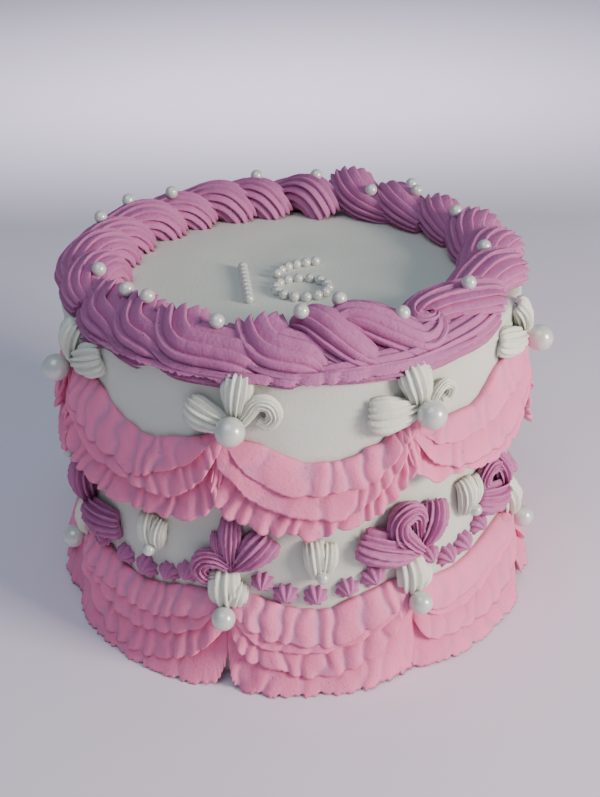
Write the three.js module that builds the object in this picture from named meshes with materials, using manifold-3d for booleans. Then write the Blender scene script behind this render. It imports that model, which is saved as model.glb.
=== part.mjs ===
// Round buttercream cake: ivory body, rope border, two tiers of ruffled swags, piped shells and sugar pearls.
// Units are millimetres, +Z up, origin at the centre of the flat base.
// Azimuth 0 is the front (-Y) and grows towards +X.
import * as THREE from 'three';
import { mergeVertices } from 'three/addons/utils/BufferGeometryUtils.js';
import Module from 'manifold-3d';

const wasm = await Module();
wasm.setup();

// Driving sizes of the cake and of the play between pieces that touch
const WALL_RADIUS = 107;
const WALL_HEIGHT = 154;
const WALL_SIDES = 44;
const GAP = 0.35;
const FUSE_DEPTH = 1.2;

// Where two swags meet, front to left, in degrees
const UPPER_JOINS = [-64, -13.3, 27.5, 74, 118, 162, 206, 250];
const LOWER_JOINS = [-67, -16.7, 26.8, 71, 116, 162, 206, 250];
const UPPER_PEARL = { radius: 6.2, z: 131.4, out: 10.2 };
const LOWER_PEARL = { radius: 5.3, z: 38.2, out: 10 };

// Facets of a pearl, around and from pole to pole
const PEARL_FACETS = { large: [5, 4], border: [4, 2], middle: [4, 2], numeral: [4, 2] };

// Each line of a swag, from its rolled top to its hem: share of the span it reaches, lowest height, rise to its
// ends, how that rise bends, depth off the wall, and share of that depth lost at the ends
const UPPER_LAYERS = [
  { reach: 0.68, low: 112.4, rise: 11.6, bend: 1.6, depth: 3.6, fade: 0.3 },
  { reach: 0.985, low: 102.5, rise: 20, bend: 3.2, depth: 8.4, fade: 0.35 },
  { reach: 0.99, low: 91.2, rise: 21.8, bend: 2.4, depth: 9.2, fade: 0.35 },
  { reach: 0.995, low: 82.5, rise: 15.5, bend: 2.6, depth: 9.2, fade: 0.3 },
];
const LOWER_LAYERS = [
  { reach: 0.76, low: 38.5, rise: 5.3, bend: 2, depth: 3.6, fade: 0.3 },
  { reach: 0.985, low: 25.5, rise: 7.5, bend: 2, depth: 8.6, fade: 0.45 },
  { reach: 0.985, low: 18, rise: 10, bend: 3, depth: 9.6, fade: 0.5 },
  { reach: 0.99, low: 9.5, rise: 14.5, bend: 3.5, depth: 10.8, fade: 0.5 },
  { reach: 0.995, low: 0.6, rise: 19, bend: 12, depth: 12.4, fade: 0.6 },
];
const SWAG_COLUMNS = 12;
const SWAG_FADE_POWER = 4;
const SWAG_BACK_GAP = 0.8;
const ROLL_DROP = 0.65;
const STEP_DROP = 0.7;
const STEP_DEPTH = 3.2;
const HEM_THICKNESS = 1.6;
const PLEAT = 0.8;

// Rope border strokes: azimuth where the bag starts and where it pulls off, thickness, and lift of the start.
// A stroke that runs to a larger azimuth starts at the inner foot, one that runs back at the outer edge.
const BORDER_STROKES = [
  [-63, -44, 11.5, 9], [-48, -30, 11.5, 9], [-34, -7, 12, 10], [-12, 5, 11.5, 9.5],
  [1, 18, 11.5, 8.5], [13, 37, 12, 8.5], [163, 144, 13.6, 11], [146, 126, 11.5, 9],
  [129, 109, 11.5, 9], [110, 90, 11.5, 9], [94, 73, 12, 9], [76, 55, 12, 9],
  [58, 31, 12.4, 9.5], [168, 186, 12, 9.5], [183, 201, 12, 9.5], [198, 214, 12, 9],
  [211, 227, 11.5, 9], [224, 241, 11.5, 9], [238, 256, 11.5, 9], [254, 272, 11.5, 9],
  [268, 286, 11.5, 9], [283, 301, 11.5, 9], [36, 55, 10.5, 4.5],
];
const STROKE_STATIONS = [0, 0.3, 0.62, 1];
const STROKE_RIBS = 4;
const RIB_DEPTH = 0.17;
const BORDER_INNER_START = 80;
const BORDER_OUTER_START = 104;
const BORDER_OUTER_RUN = 98.5;
const BORDER_INNER_RUN = 87;
const BORDER_RUN_LIFT = 3.2;
const STROKE_TAPER = 0.3;

// Path of a stroke: share of its span, share of the way from start radius to running radius, and share of the
// start lift that is kept
const STROKE_PATH = [[0, 0, 1], [0.06, 0.67, 1], [0.3, 1, 0.34], [0.65, 1, 0], [1, 1, 0]];

// Pearls pressed into the border: azimuth and radius of each
const BORDER_PEARL_RADIUS = 3.25;
const BORDER_PEARL_LIFT = 1.3;
const BORDER_PEARLS = [
  [-63, 93], [-50, 88], [-41, 86], [-16, 86], [1, 84], [15, 85], [24, 88], [47, 92], [73, 90],
  [107, 88], [143, 99], [136, 93], [146, 82], [171, 95], [190, 96], [224, 88], [237, 97], [250, 97],
];

// Shells on the wall, measured from a pearl: start and tip across and up, half width and thickness
const UPPER_SHELLS = [
  [[1.5, 0, -18.5, 4.5, 6, 6.5], [0, -1, 1.5, 16, 6, 6.5], [-1.5, 0, 16, 4.5, 6.6, 6.5]],
  [[1.5, 0, -20.5, 1, 6, 6.5], [0, -1, -4, 16, 6.6, 6.5], [-1.5, 0, 14, 5.5, 4, 4.5]],
];
const MAUVE_SHELLS = [
  [
    [0, 20.5, -4, 36, 3.6, 6], [1, 20.5, 3.4, 42, 4.8, 7], [0, 21, 21, 31.5, 6.4, 7.5],
    [2, 22.5, -12.5, 19.5, 4, 6.2],
  ],
  [[1, 21, -26, 28, 7.2, 7.5], [0, 21, -3.5, 43, 6.6, 7], [0, 21.5, 13, 41, 5.4, 6.5]],
];
const LOWER_WHITE_SHELL = [0, 0.5, 0, 17, 6.6, 8.5];
const MID_SHELL = [0, -1, 0, 19, 6.4, 6.5];
const MID_SHELL_AZIMUTHS = [-35.5, 4.5, 43.5, 94, 139, 184, 228, 272];
const MID_SHELL_Z = 58;
const MID_PEARL = { radius: 2.8, z: 60, out: 4.4 };

// A shell's sections: share of its length, then share of its full width and of its full thickness
const SHELL_RIBS = 4;
const SHELL_STATIONS = [[0.02, 0.3, 0.62], [0.46, 0.94, 0.92], [0.86, 0.84, 0.84]];
const SHELL_TIP_DEPTH = 0.42;

// Star rosettes over each lower swag, as shares of the half span from its middle
const ROSETTE_ROWS = [
  [-0.46, -0.19, 0.11, 0.39, 0.61], [-0.62, -0.39, -0.07, 0.28, 0.58], [-0.55, -0.26, 0.03, 0.34],
  [-0.45, -0.15, 0.17, 0.48], [-0.48, -0.17, 0.14, 0.47], [-0.5, -0.16, 0.18, 0.46],
  [-0.47, -0.18, 0.15, 0.49], [-0.5, -0.2, 0.12, 0.44],
];
const ROSETTE = { radius: 6.2, height: 5, notch: 0.2, rays: 5, low: 46.6, rise: 18, unevenness: 0.1 };

// Plain numerals 1 and 6 laid in small pearls on the top
const NUMERAL_PEARL_RADIUS = 2.1;
const NUMERAL_PEARL_LIFT = 1.5;
const NUMERAL_ONE = { from: [-23, 3], to: [-19.6, -36.5], count: 9 };
const NUMERAL_SIX_TAIL = [
  [11.4, 8.4], [7.2, 6.9], [3.2, 5], [-0.4, 2.6], [-3.6, -0.6], [-6, -4.4], [-7.4, -8.8],
];
const NUMERAL_SIX_BOWL = { centre: [4.4, -24.6], across: 12, along: 11.4, count: 14, tilt: 20 };

const radians = THREE.MathUtils.degToRad;

// Point at an azimuth in degrees, a radius and a height
function polar(azimuth, radius, z) {
  return new THREE.Vector3(radius * Math.sin(radians(azimuth)), -radius * Math.cos(radians(azimuth)), z);
}

// Azimuths of a join and of the next one round the cake
function span(joins, index) {
  return [joins[index], joins[index + 1] ?? joins[0] + 360];
}

// Point on the wall, given from an anchor as a distance across, a distance up and a depth off the wall
function onWall(azimuth, z, across, up, depth) {
  return polar(azimuth + THREE.MathUtils.radToDeg(across / WALL_RADIUS), WALL_RADIUS + depth, z + up);
}

// Closed solid through rings with the same number of points: a flat fan on each end, or a point on the last one
function loft(rings, tip) {
  const count = rings[0].length;
  const points = rings.flat();
  const faces = [];
  for (let r = 0; r + 1 < rings.length; r += 1) {
    for (let k = 0; k < count; k += 1) {
      const a = r * count + k;
      const b = r * count + ((k + 1) % count);
      faces.push(a, b, b + count, a, b + count, a + count);
    }
  }
  const last = (rings.length - 1) * count;
  for (let k = 1; k + 1 < count; k += 1) {
    faces.push(0, k + 1, k);
  }
  if (tip) {
    points.push(tip);
    for (let k = 0; k < count; k += 1) {
      faces.push(last + k, last + ((k + 1) % count), points.length - 1);
    }
  } else {
    for (let k = 1; k + 1 < count; k += 1) {
      faces.push(last, last + k, last + k + 1);
    }
  }
  return closedGeometry(points, faces);
}

// Indexed geometry whose faces point out, whichever way its rings were wound
function closedGeometry(points, faces) {
  let volume = 0;
  for (let f = 0; f < faces.length; f += 3) {
    const [a, b, c] = [points[faces[f]], points[faces[f + 1]], points[faces[f + 2]]];
    volume += a.dot(new THREE.Vector3().crossVectors(b, c));
  }
  const wound = volume > 0 ? faces : faces.slice().reverse();
  const geometry = new THREE.BufferGeometry().setFromPoints(points);
  geometry.setIndex(wound);
  return geometry;
}

function toManifold(geometry) {
  const bare = geometry.clone();
  bare.deleteAttribute('normal');
  bare.deleteAttribute('uv');
  const merged = mergeVertices(bare, 1e-4);
  return new wasm.Manifold(new wasm.Mesh({
    numProp: 3,
    vertProperties: new Float32Array(merged.attributes.position.array),
    triVerts: new Uint32Array(merged.index.array),
  }));
}

function fromManifold(solid) {
  const mesh = solid.getMesh();
  const geometry = new THREE.BufferGeometry();
  geometry.setAttribute('position', new THREE.BufferAttribute(mesh.vertProperties, 3));
  geometry.setIndex(new THREE.BufferAttribute(mesh.triVerts, 1));
  return geometry;
}

function union(geometries) {
  return geometries.map(toManifold).reduce((whole, part) => whole.add(part));
}

function ball(centre, radius, [around, rings]) {
  const geometry = new THREE.SphereGeometry(radius, around, rings);
  geometry.rotateX(Math.PI / 2);
  return geometry.translate(centre.x, centre.y, centre.z);
}

// Pearl that stands off the wall; play makes it larger, as the seat cut for it
function wallPearl(azimuth, pearl, facets, play = 0) {
  return ball(polar(azimuth, WALL_RADIUS + pearl.out, pearl.z), pearl.radius + play, facets);
}

function wallCylinder(radius, bottom, top) {
  const profile = [[0, bottom], [radius, bottom], [radius, top], [0, top]];
  const geometry = new THREE.LatheGeometry(profile.map(([r, z]) => new THREE.Vector2(r, z)), WALL_SIDES);
  return geometry.rotateX(Math.PI / 2);
}

// One ruffled swag: lapped layers that hang from the wall between two joins
function swag(from, to, layers) {
  const middle = (from + to) / 2;
  const half = (to - from) / 2;
  const rings = [];
  for (let column = 0; column <= SWAG_COLUMNS; column += 1) {
    const share = (2 * column) / SWAG_COLUMNS - 1;
    const lines = layers.map((layer) => ({
      azimuth: middle + half * share * layer.reach,
      z: layer.low + layer.rise * Math.abs(share) ** layer.bend,
      depth: layer.depth * (1 - layer.fade * share ** SWAG_FADE_POWER),
    }));
    const pleat = column % 2 === 0 ? PLEAT : -PLEAT;
    const [top, ...edges] = lines;
    const ring = [
      polar(top.azimuth, WALL_RADIUS + SWAG_BACK_GAP, top.z),
      polar(top.azimuth, WALL_RADIUS + top.depth, top.z - ROLL_DROP),
    ];
    edges.forEach((edge, index) => {
      ring.push(polar(edge.azimuth, WALL_RADIUS + edge.depth + pleat, edge.z));
      if (index + 1 < edges.length) {
        ring.push(polar(edge.azimuth, WALL_RADIUS + edge.depth - STEP_DEPTH, edge.z - STEP_DROP));
      }
    });
    const hem = edges[edges.length - 1];
    ring.push(polar(hem.azimuth, WALL_RADIUS + SWAG_BACK_GAP, hem.z + HEM_THICKNESS));
    rings.push(ring);
  }
  return loft(rings);
}

// One piped shell that lies on the wall: thin at its start, fullest near its tip, ribbed along its length
function wallShell(azimuth, z, [x0, y0, x1, y1, halfWidth, thickness], floor) {
  const length = Math.hypot(x1 - x0, y1 - y0);
  const along = [(x1 - x0) / length, (y1 - y0) / length];
  const rings = SHELL_STATIONS.map(([place, wide, thick]) => {
    const x = x0 + along[0] * length * place;
    const y = y0 + along[1] * length * place;
    const ring = [];
    for (let k = 0; k <= 2 * SHELL_RIBS - 2; k += 1) {
      const angle = (Math.PI * k) / (2 * SHELL_RIBS - 2);
      const rib = k % 2 === 0 ? 1 : 1 - RIB_DEPTH;
      const side = halfWidth * wide * rib * Math.cos(angle);
      const depth = Math.max(floor, floor + (thickness - floor) * thick * rib * Math.sin(angle));
      ring.push(onWall(azimuth, z, x - along[1] * side, y + along[0] * side, depth));
    }
    return ring;
  });
  return loft(rings, onWall(azimuth, z, x1, y1, floor + (thickness - floor) * SHELL_TIP_DEPTH));
}

// One star stroke of the rope border: a ribbed tube along a curve, full at the start, thinner at the pull-off
function borderStroke([start, end, radius, lift]) {
  const span = end - start;
  const outwards = span > 0;
  const head = outwards ? BORDER_INNER_START : BORDER_OUTER_START;
  const run = outwards ? BORDER_OUTER_RUN : BORDER_INNER_RUN;
  const controls = STROKE_PATH.map(([turn, across, kept]) => polar(
    start + turn * span,
    head + (run - head) * across,
    WALL_HEIGHT + BORDER_RUN_LIFT + (lift - BORDER_RUN_LIFT) * kept,
  ));
  const path = new THREE.CatmullRomCurve3(controls, false, 'centripetal');
  const rings = STROKE_STATIONS.map((share) => {
    const centre = path.getPointAt(share);
    const ahead = path.getTangentAt(share);
    const side = new THREE.Vector3().crossVectors(ahead, new THREE.Vector3(0, 0, 1)).normalize();
    const up = new THREE.Vector3().crossVectors(side, ahead);
    const size = radius * (1 - STROKE_TAPER * share * share);
    const ring = [];
    for (let k = 0; k < 2 * STROKE_RIBS; k += 1) {
      const angle = (Math.PI * k) / STROKE_RIBS;
      const reach = size * (k % 2 === 0 ? 1 : 1 - RIB_DEPTH);
      ring.push(centre.clone()
        .addScaledVector(side, reach * Math.cos(angle))
        .addScaledVector(up, reach * Math.sin(angle)));
    }
    return ring;
  });
  return loft(rings);
}

// Height of the border's surface at a place: the highest stroke whose rounded back covers it
function borderHeight(strokes, place) {
  const above = new THREE.Vector3(place.x, place.y, 2 * WALL_HEIGHT);
  const ray = new THREE.Raycaster(above, new THREE.Vector3(0, 0, -1));
  const hits = ray.intersectObjects(strokes.map((geometry) => new THREE.Mesh(geometry)));
  return hits[0].point.z;
}

function border() {
  const strokes = BORDER_STROKES.map(borderStroke);
  const pearls = BORDER_PEARLS.map(([azimuth, radius]) => {
    const place = polar(azimuth, radius, 0);
    place.z = borderHeight(strokes, place) + BORDER_PEARL_LIFT;
    return ball(place, BORDER_PEARL_RADIUS, PEARL_FACETS.border);
  });
  const cake = toManifold(wallCylinder(WALL_RADIUS + GAP, WALL_HEIGHT / 2, WALL_HEIGHT + GAP));
  return fromManifold(union([...strokes, ...pearls]).subtract(cake));
}

// Low star whose rays run up from the wall to its peak
function rosette(azimuth, z, scale) {
  const rim = [];
  for (let k = 0; k < 2 * ROSETTE.rays; k += 1) {
    const angle = (Math.PI * k) / ROSETTE.rays;
    const reach = ROSETTE.radius * scale * (k % 2 === 0 ? 1 : 1 - ROSETTE.notch);
    rim.push(onWall(azimuth, z, reach * Math.cos(angle), reach * Math.sin(angle), -FUSE_DEPTH));
  }
  return loft([rim], onWall(azimuth, z, 0, 0, ROSETTE.height));
}

function numeralPearls() {
  const places = [];
  for (let k = 0; k < NUMERAL_ONE.count; k += 1) {
    const share = k / (NUMERAL_ONE.count - 1);
    const [x0, y0] = NUMERAL_ONE.from;
    const [x1, y1] = NUMERAL_ONE.to;
    places.push([x0 + (x1 - x0) * share, y0 + (y1 - y0) * share]);
  }
  places.push(...NUMERAL_SIX_TAIL);
  const { centre, across, along, count, tilt } = NUMERAL_SIX_BOWL;
  for (let k = 0; k < count; k += 1) {
    const angle = (2 * Math.PI * k) / count + radians(tilt);
    places.push([centre[0] + across * Math.cos(angle), centre[1] + along * Math.sin(angle)]);
  }
  const z = WALL_HEIGHT + NUMERAL_PEARL_LIFT;
  return places.map(([x, y]) => ball(new THREE.Vector3(x, y, z), NUMERAL_PEARL_RADIUS, PEARL_FACETS.numeral));
}

function cakeBody() {
  const pieces = [wallCylinder(WALL_RADIUS, 0, WALL_HEIGHT), ...numeralPearls()];
  ROSETTE_ROWS.forEach((row, index) => {
    const [from, to] = span(LOWER_JOINS, index);
    row.forEach((share, place) => {
      const azimuth = (from + to) / 2 + ((to - from) / 2) * share;
      const scale = 1 - ROSETTE.unevenness * (1 + Math.sin(7 * index + 3 * place));
      pieces.push(rosette(azimuth, ROSETTE.low + ROSETTE.rise * share * share, scale));
    });
  });
  MID_SHELL_AZIMUTHS.forEach((azimuth) => {
    pieces.push(wallShell(azimuth, MID_SHELL_Z, MID_SHELL, -FUSE_DEPTH));
    pieces.push(wallPearl(azimuth, MID_PEARL, PEARL_FACETS.middle));
  });
  return fromManifold(union(pieces));
}

// Shells that fan out from one pearl, fused, with the pearl's seat cut out of them
function cluster(azimuth, shells, pearl) {
  const fused = union(shells.map((shell) => wallShell(azimuth, pearl.z, shell, GAP)));
  const seat = toManifold(wallPearl(azimuth, pearl, PEARL_FACETS.large, GAP));
  return fromManifold(fused.subtract(seat));
}

const IVORY_BUTTERCREAM = { color: '#dedcd0', roughness: 0.6, metalness: 0 };
const WHITE_BUTTERCREAM = { color: '#e8e6da', roughness: 0.5, metalness: 0 };
const MAUVE_BUTTERCREAM = { color: '#c487ab', roughness: 0.55, metalness: 0 };
const PINK_BUTTERCREAM = { color: '#e994ae', roughness: 0.6, metalness: 0 };
const SUGAR_PEARL = { color: '#dfe0d6', roughness: 0.3, metalness: 0 };

const cake = new THREE.Group();

function addPiece(name, geometry, look) {
  const mesh = new THREE.Mesh(geometry, new THREE.MeshStandardMaterial(look));
  mesh.name = name;
  cake.add(mesh);
}

addPiece('cake_body', cakeBody(), IVORY_BUTTERCREAM);
addPiece('top_border', border(), MAUVE_BUTTERCREAM);

for (let place = 0; place < UPPER_JOINS.length; place += 1) {
  const number = place + 1;
  addPiece(`upper_swag_${number}`, swag(...span(UPPER_JOINS, place), UPPER_LAYERS), PINK_BUTTERCREAM);
  addPiece(`lower_swag_${number}`, swag(...span(LOWER_JOINS, place), LOWER_LAYERS), PINK_BUTTERCREAM);

  const upperShells = cluster(UPPER_JOINS[place], UPPER_SHELLS[number % 2], UPPER_PEARL);
  addPiece(`upper_shells_${number}`, upperShells, WHITE_BUTTERCREAM);
  const mauveShells = cluster(LOWER_JOINS[place], MAUVE_SHELLS[number % 2], LOWER_PEARL);
  addPiece(`mauve_shells_${number}`, mauveShells, MAUVE_BUTTERCREAM);
  const whiteShell = cluster(LOWER_JOINS[place], [LOWER_WHITE_SHELL], LOWER_PEARL);
  addPiece(`lower_shell_${number}`, whiteShell, WHITE_BUTTERCREAM);

  const upperPearl = wallPearl(UPPER_JOINS[place], UPPER_PEARL, PEARL_FACETS.large);
  addPiece(`upper_pearl_${number}`, upperPearl, SUGAR_PEARL);
  const lowerPearl = wallPearl(LOWER_JOINS[place], LOWER_PEARL, PEARL_FACETS.large);
  addPiece(`lower_pearl_${number}`, lowerPearl, SUGAR_PEARL);
}

export default cake;
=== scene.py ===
# %% [markdown]
# This lesson builds a tall round cake coated in ivory buttercream, with a mauve rope border, two tiers of
# ruffled pink swags, piped shells, star rosettes and sugar pearls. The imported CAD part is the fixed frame:
# the pieces below take the place of its solids and stay at their size.

# %% Load the frame
import math

import bpy
import numpy as np
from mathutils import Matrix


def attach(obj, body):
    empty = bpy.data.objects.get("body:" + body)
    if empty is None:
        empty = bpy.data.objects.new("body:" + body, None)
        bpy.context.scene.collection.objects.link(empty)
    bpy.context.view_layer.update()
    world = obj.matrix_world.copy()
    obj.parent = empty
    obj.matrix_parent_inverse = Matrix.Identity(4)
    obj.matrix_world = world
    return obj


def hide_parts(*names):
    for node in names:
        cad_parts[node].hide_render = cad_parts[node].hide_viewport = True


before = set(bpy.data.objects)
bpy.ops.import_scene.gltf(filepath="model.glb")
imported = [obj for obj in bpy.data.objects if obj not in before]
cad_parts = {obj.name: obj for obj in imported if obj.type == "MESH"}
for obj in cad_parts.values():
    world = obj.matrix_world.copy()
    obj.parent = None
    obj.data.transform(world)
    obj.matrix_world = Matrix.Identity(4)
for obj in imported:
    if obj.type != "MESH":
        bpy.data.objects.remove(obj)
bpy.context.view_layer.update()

# %% [markdown]
# A cake is round, so places on it are easiest to give as an angle, a radius and a height. The angle is 0 at
# the front and grows to the right. Sizes are kept in millimetres, as a decorator would measure them, and
# turned to metres at the last moment. The two sizes that all others follow are the radius and the height of
# the coat. Each tier has eight swags.

# %% Sizes of the cake and places on it
MM = 0.001
WALL_RADIUS = 107
WALL_HEIGHT = 154
AROUND = 8


def polar(azimuth, radius, z):
    """A point in mm from an azimuth in degrees, a radius and a height in mm."""
    angle = math.radians(azimuth)
    return np.array([radius * math.sin(angle), -radius * math.cos(angle), z])


def on_wall(azimuth, z, across, up, depth):
    """A point in mm, from an anchor on the wall: across, up and out of it."""
    return polar(azimuth + math.degrees(across / WALL_RADIUS), WALL_RADIUS + depth, z + up)


print("the coat is", 2 * WALL_RADIUS, "mm across and", WALL_HEIGHT, "mm tall")

# %% [markdown]
# Node trees, for shapes and for finishes, are built with one helper. It adds a node, sets its properties, and
# fills its inputs, by name or in their order, with values or with links. A link comes from a socket, or from
# a node, which stands for its first output. Colours are written as the hex values that a picture editor
# shows, which are sRGB, so one function turns them into the linear values that Blender mixes.

# %% Helpers for node trees and colours
MATH, VECTOR_MATH, MIX = "ShaderNodeMath", "ShaderNodeVectorMath", "ShaderNodeMix"
NOISE, BUMP = "ShaderNodeTexNoise", "ShaderNodeBump"
READ, STORE = "GeometryNodeInputNamedAttribute", "GeometryNodeStoreNamedAttribute"
SET_PLACE = "GeometryNodeSetPosition"


def add(tree, kind, inputs=(), **settings):
    """Add one node to a tree, set its properties, and fill or link its inputs."""
    made = tree.nodes.new(kind)
    for name, value in settings.items():
        setattr(made, name, value)
    for name, value in inputs.items() if isinstance(inputs, dict) else enumerate(inputs):
        if isinstance(value, bpy.types.Node):
            value = value.outputs[0]
        if isinstance(value, bpy.types.NodeSocket):
            tree.links.new(value, made.inputs[name])
        else:
            made.inputs[name].default_value = value
    return made


def linear(hex_colour):
    """Linear RGBA of an sRGB hex colour."""
    channels = [int(hex_colour[i:i + 2], 16) / 255 for i in (1, 3, 5)]
    return [c / 12.92 if c <= 0.04045 else ((c + 0.055) / 1.055) ** 2.4 for c in channels] + [1]


def new_material(name, values):
    """A material, its tree and its surface, with values set on the surface's own sockets."""
    material = bpy.data.materials.new(name)
    material.use_nodes = True
    tree = material.node_tree
    surface = tree.nodes["Principled BSDF"]
    for label, value in values.items():
        surface.inputs[label].default_value = value
    return material, tree, surface


def clouded(tree, place, width, detail, light, deep):
    """A colour that drifts between two tones, in clouds of a width."""
    cloud = add(tree, NOISE, {"Vector": place, "Scale": 1 / width, "Detail": detail})
    return add(tree, MIX, {0: cloud, 6: linear(light), 7: linear(deep)}, data_type="RGBA").outputs[2]


print("ivory in linear light:", [round(c, 3) for c in linear("#D6D9CF")])

# %% [markdown]
# Buttercream is butter beaten with sugar. It scatters light just under its surface, so it looks soft, and the
# beating leaves a fine grain with a few burst air bubbles. Its IOR is that of fat, about 1.46, and it is
# neither wet nor dry, so its roughness is in the middle. One function gives all four colours the same body: a
# slow drift between two tones, a grain of about 1.5 mm and a few pits. The scraped coat was smoothed, so it
# keeps less of the grain, and light goes deeper into the coloured ones. The ruffles store where a crease is
# and where one ribbon is covered by the next, and there the pink takes painted shade: a greyish mauve in the
# creases, and a deeper pink under the ribbon above, which also paints light bounced between the layers.

# %% Buttercream finishes
GRAIN = 1.4 * MM
PIT_SPACING = 5 * MM
PIT_WIDTH = 0.09
RELIEF = 0.6 * MM
DRIFT = 30 * MM


def buttercream(name, light, deep, roughness, beating, glow, painted_shades=None):
    """Whipped buttercream: beaten with sugar and pushed through a tip or smoothed with a scraper."""
    material, tree, surface = new_material(name, {
        "Roughness": roughness, "IOR": 1.46, "Specular IOR Level": 0.3, "Subsurface Weight": glow,
        "Subsurface Radius": (1, 0.7, 0.55), "Subsurface Scale": 1.6 * MM})
    place = add(tree, "ShaderNodeTexCoord").outputs["Object"]
    colour = clouded(tree, place, DRIFT, 3, light, deep)
    # Painted shade: where a stored amount is high, the colour is mixed towards a tone that stands for shade
    for attribute, shade_colour in (painted_shades or {}).items():
        amount = add(tree, "ShaderNodeAttribute", attribute_name=attribute).outputs["Fac"]
        colour = add(tree, MIX, {0: amount, 6: colour, 7: linear(shade_colour)}, data_type="RGBA").outputs[2]
    grain = add(tree, NOISE, {"Vector": place, "Scale": 1 / GRAIN, "Detail": 4, "Roughness": 0.65})
    bubbles = add(tree, "ShaderNodeTexVoronoi", {"Vector": place, "Scale": 1 / PIT_SPACING})
    pit = add(tree, "ShaderNodeMapRange", [bubbles, PIT_WIDTH / 2, PIT_WIDTH])
    beaten = add(tree, BUMP, {"Height": grain, "Strength": beating, "Distance": RELIEF})
    pitted = add(tree, BUMP, {"Height": pit, "Normal": beaten, "Strength": beating, "Distance": RELIEF})
    tree.links.new(colour, surface.inputs["Base Color"])
    tree.links.new(pitted.outputs[0], surface.inputs["Normal"])
    return material


ivory = buttercream("ivory_buttercream_scraped", "#D6D9CF", "#CED0C4", roughness=0.5, beating=0.35, glow=0.18)
white = buttercream("white_buttercream_piped", "#EAEADF", "#DEDECF", roughness=0.5, beating=0.7, glow=0.1)
mauve = buttercream("mauve_buttercream_piped", "#C378A7", "#B36898", roughness=0.55, beating=0.9, glow=0.3)
# Painted shade on the ruffles: greyish mauve in the creases, deeper pink under the ribbon above
pink = buttercream("pink_buttercream_ruffled", "#F98BB3", "#EC81AA", roughness=0.6, beating=0.7, glow=0.3,
                   painted_shades={"crease": "#C48CAE", "hidden_shade": "#E0749C"})
print("four buttercreams:", ivory.name, white.name, mauve.name, pink.name)

# %% [markdown]
# Sugar pearls are balls of pressed sugar, tumbled in a pearly glaze. The glaze is a thin clear layer over a
# pale body, so the body is a little rough and a coat on it gives the sharp spot of light. The glaze dries in
# faint clouds, some warmer than others.

# %% Sugar pearl finish
CLOUD = 6 * MM

sugar, sugar_tree, glaze = new_material("sugar_pearl_glazed", {
    "Metallic": 0.15, "Roughness": 0.3, "IOR": 1.5, "Coat Weight": 0.9, "Coat Roughness": 0.12,
    "Subsurface Weight": 0.2, "Subsurface Scale": 1 * MM})
on_pearl = add(sugar_tree, "ShaderNodeTexCoord").outputs["Object"]
mottled = clouded(sugar_tree, on_pearl, CLOUD, 2, "#D4D8D6", "#CBC9BF")
sugar_tree.links.new(mottled, glaze.inputs["Base Color"])
print("pearl coat weight", round(glaze.inputs["Coat Weight"].default_value, 2))

# %% [markdown]
# The camera stands where the photographer's did: a little above the cake, half a metre in front of it,
# looking down. It comes first, so that each piece can be judged from there as soon as it is made. The light
# is that of a room with a window to the right of the camera: one broad warm light there, quite low, a wide
# cool one over the camera and a pale surround, which fill the shaded side. A third light faces away from the
# cake, on the floor behind it, which is the backdrop. Lights are placed in metres.

# %% Camera, floor and light
CAMERA_PLACE = (-6.8, -509.5, 351.6)
CAMERA_YAW = 1.105
CAMERA_PITCH = 27.513
CAMERA_ROLL = -0.868
FOCAL_PIXELS = 1150.3
PICTURE_HEIGHT = 797
SENSOR = 36
FLOOR_REACH = 6

yaw, pitch, roll = (math.radians(a) for a in (CAMERA_YAW, CAMERA_PITCH, CAMERA_ROLL))
look = np.array([math.sin(yaw) * math.cos(pitch), math.cos(yaw) * math.cos(pitch), -math.sin(pitch)])
level = np.array([math.cos(yaw), -math.sin(yaw), 0])
overhead = np.cross(level, look)
camera_right = math.cos(roll) * level + math.sin(roll) * overhead
camera_up = math.cos(roll) * overhead - math.sin(roll) * level

lens = bpy.data.cameras.new("photo_view")
lens.sensor_width = SENSOR
lens.lens = FOCAL_PIXELS / PICTURE_HEIGHT * SENSOR
camera = bpy.data.objects.new("photo_view", lens)
matrix = np.identity(4)
matrix[:3, 0] = camera_right
matrix[:3, 1] = camera_up
matrix[:3, 2] = -look
matrix[:3, 3] = np.array(CAMERA_PLACE) * MM
camera.matrix_world = matrix.T.tolist()
bpy.context.scene.collection.objects.link(camera)
bpy.context.scene.camera = camera


def area_light(name, place, size, power, colour, towards=(0, 0, WALL_HEIGHT / 2 * MM)):
    """A square soft light that faces the middle of the cake, or another place."""
    data = bpy.data.lights.new(name, "AREA")
    data.size = size
    data.energy = power
    data.color = linear(colour)[:3]
    lamp = bpy.data.objects.new(name, data)
    lamp.location = place
    aim = bpy.data.objects.new(name + "_aim", None)
    aim.location = towards
    track = lamp.constraints.new("TRACK_TO")
    track.target = aim
    for thing in (lamp, aim):
        bpy.context.scene.collection.objects.link(thing)


area_light("window_light", (1.12, -0.72, 0.56), size=0.45, power=26.5, colour="#FFF4EA")
area_light("room_fill", (-0.3, -0.8, 1.8), size=1.2, power=12, colour="#DCE8FA")
area_light("backdrop_light", (0, 0.9, 0.8), size=0.8, power=19, colour="#F4ECFA", towards=(0, 2.6, 0))

world = bpy.context.scene.world or bpy.data.worlds.new("pale_room")
bpy.context.scene.world = world
world.use_nodes = True
surround = world.node_tree.nodes["Background"]
surround.inputs["Color"].default_value = linear("#D2E4F4")
surround.inputs["Strength"].default_value = 0.29

paint = new_material("pale_floor_matte", {"Base Color": linear("#F0E6F4"), "Roughness": 0.7})[0]
corners = [(x * FLOOR_REACH, y * FLOOR_REACH, 0) for x, y in ((-1, -1), (1, -1), (1, 1), (-1, 1))]
floor_mesh = bpy.data.meshes.new("floor")
floor_mesh.from_pydata(corners, [], [(0, 1, 2, 3)])
floor = bpy.data.objects.new("floor", floor_mesh)
floor.data.materials.append(paint)
bpy.context.scene.collection.objects.link(floor)
print("lens", round(lens.lens, 2), "mm")

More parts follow.
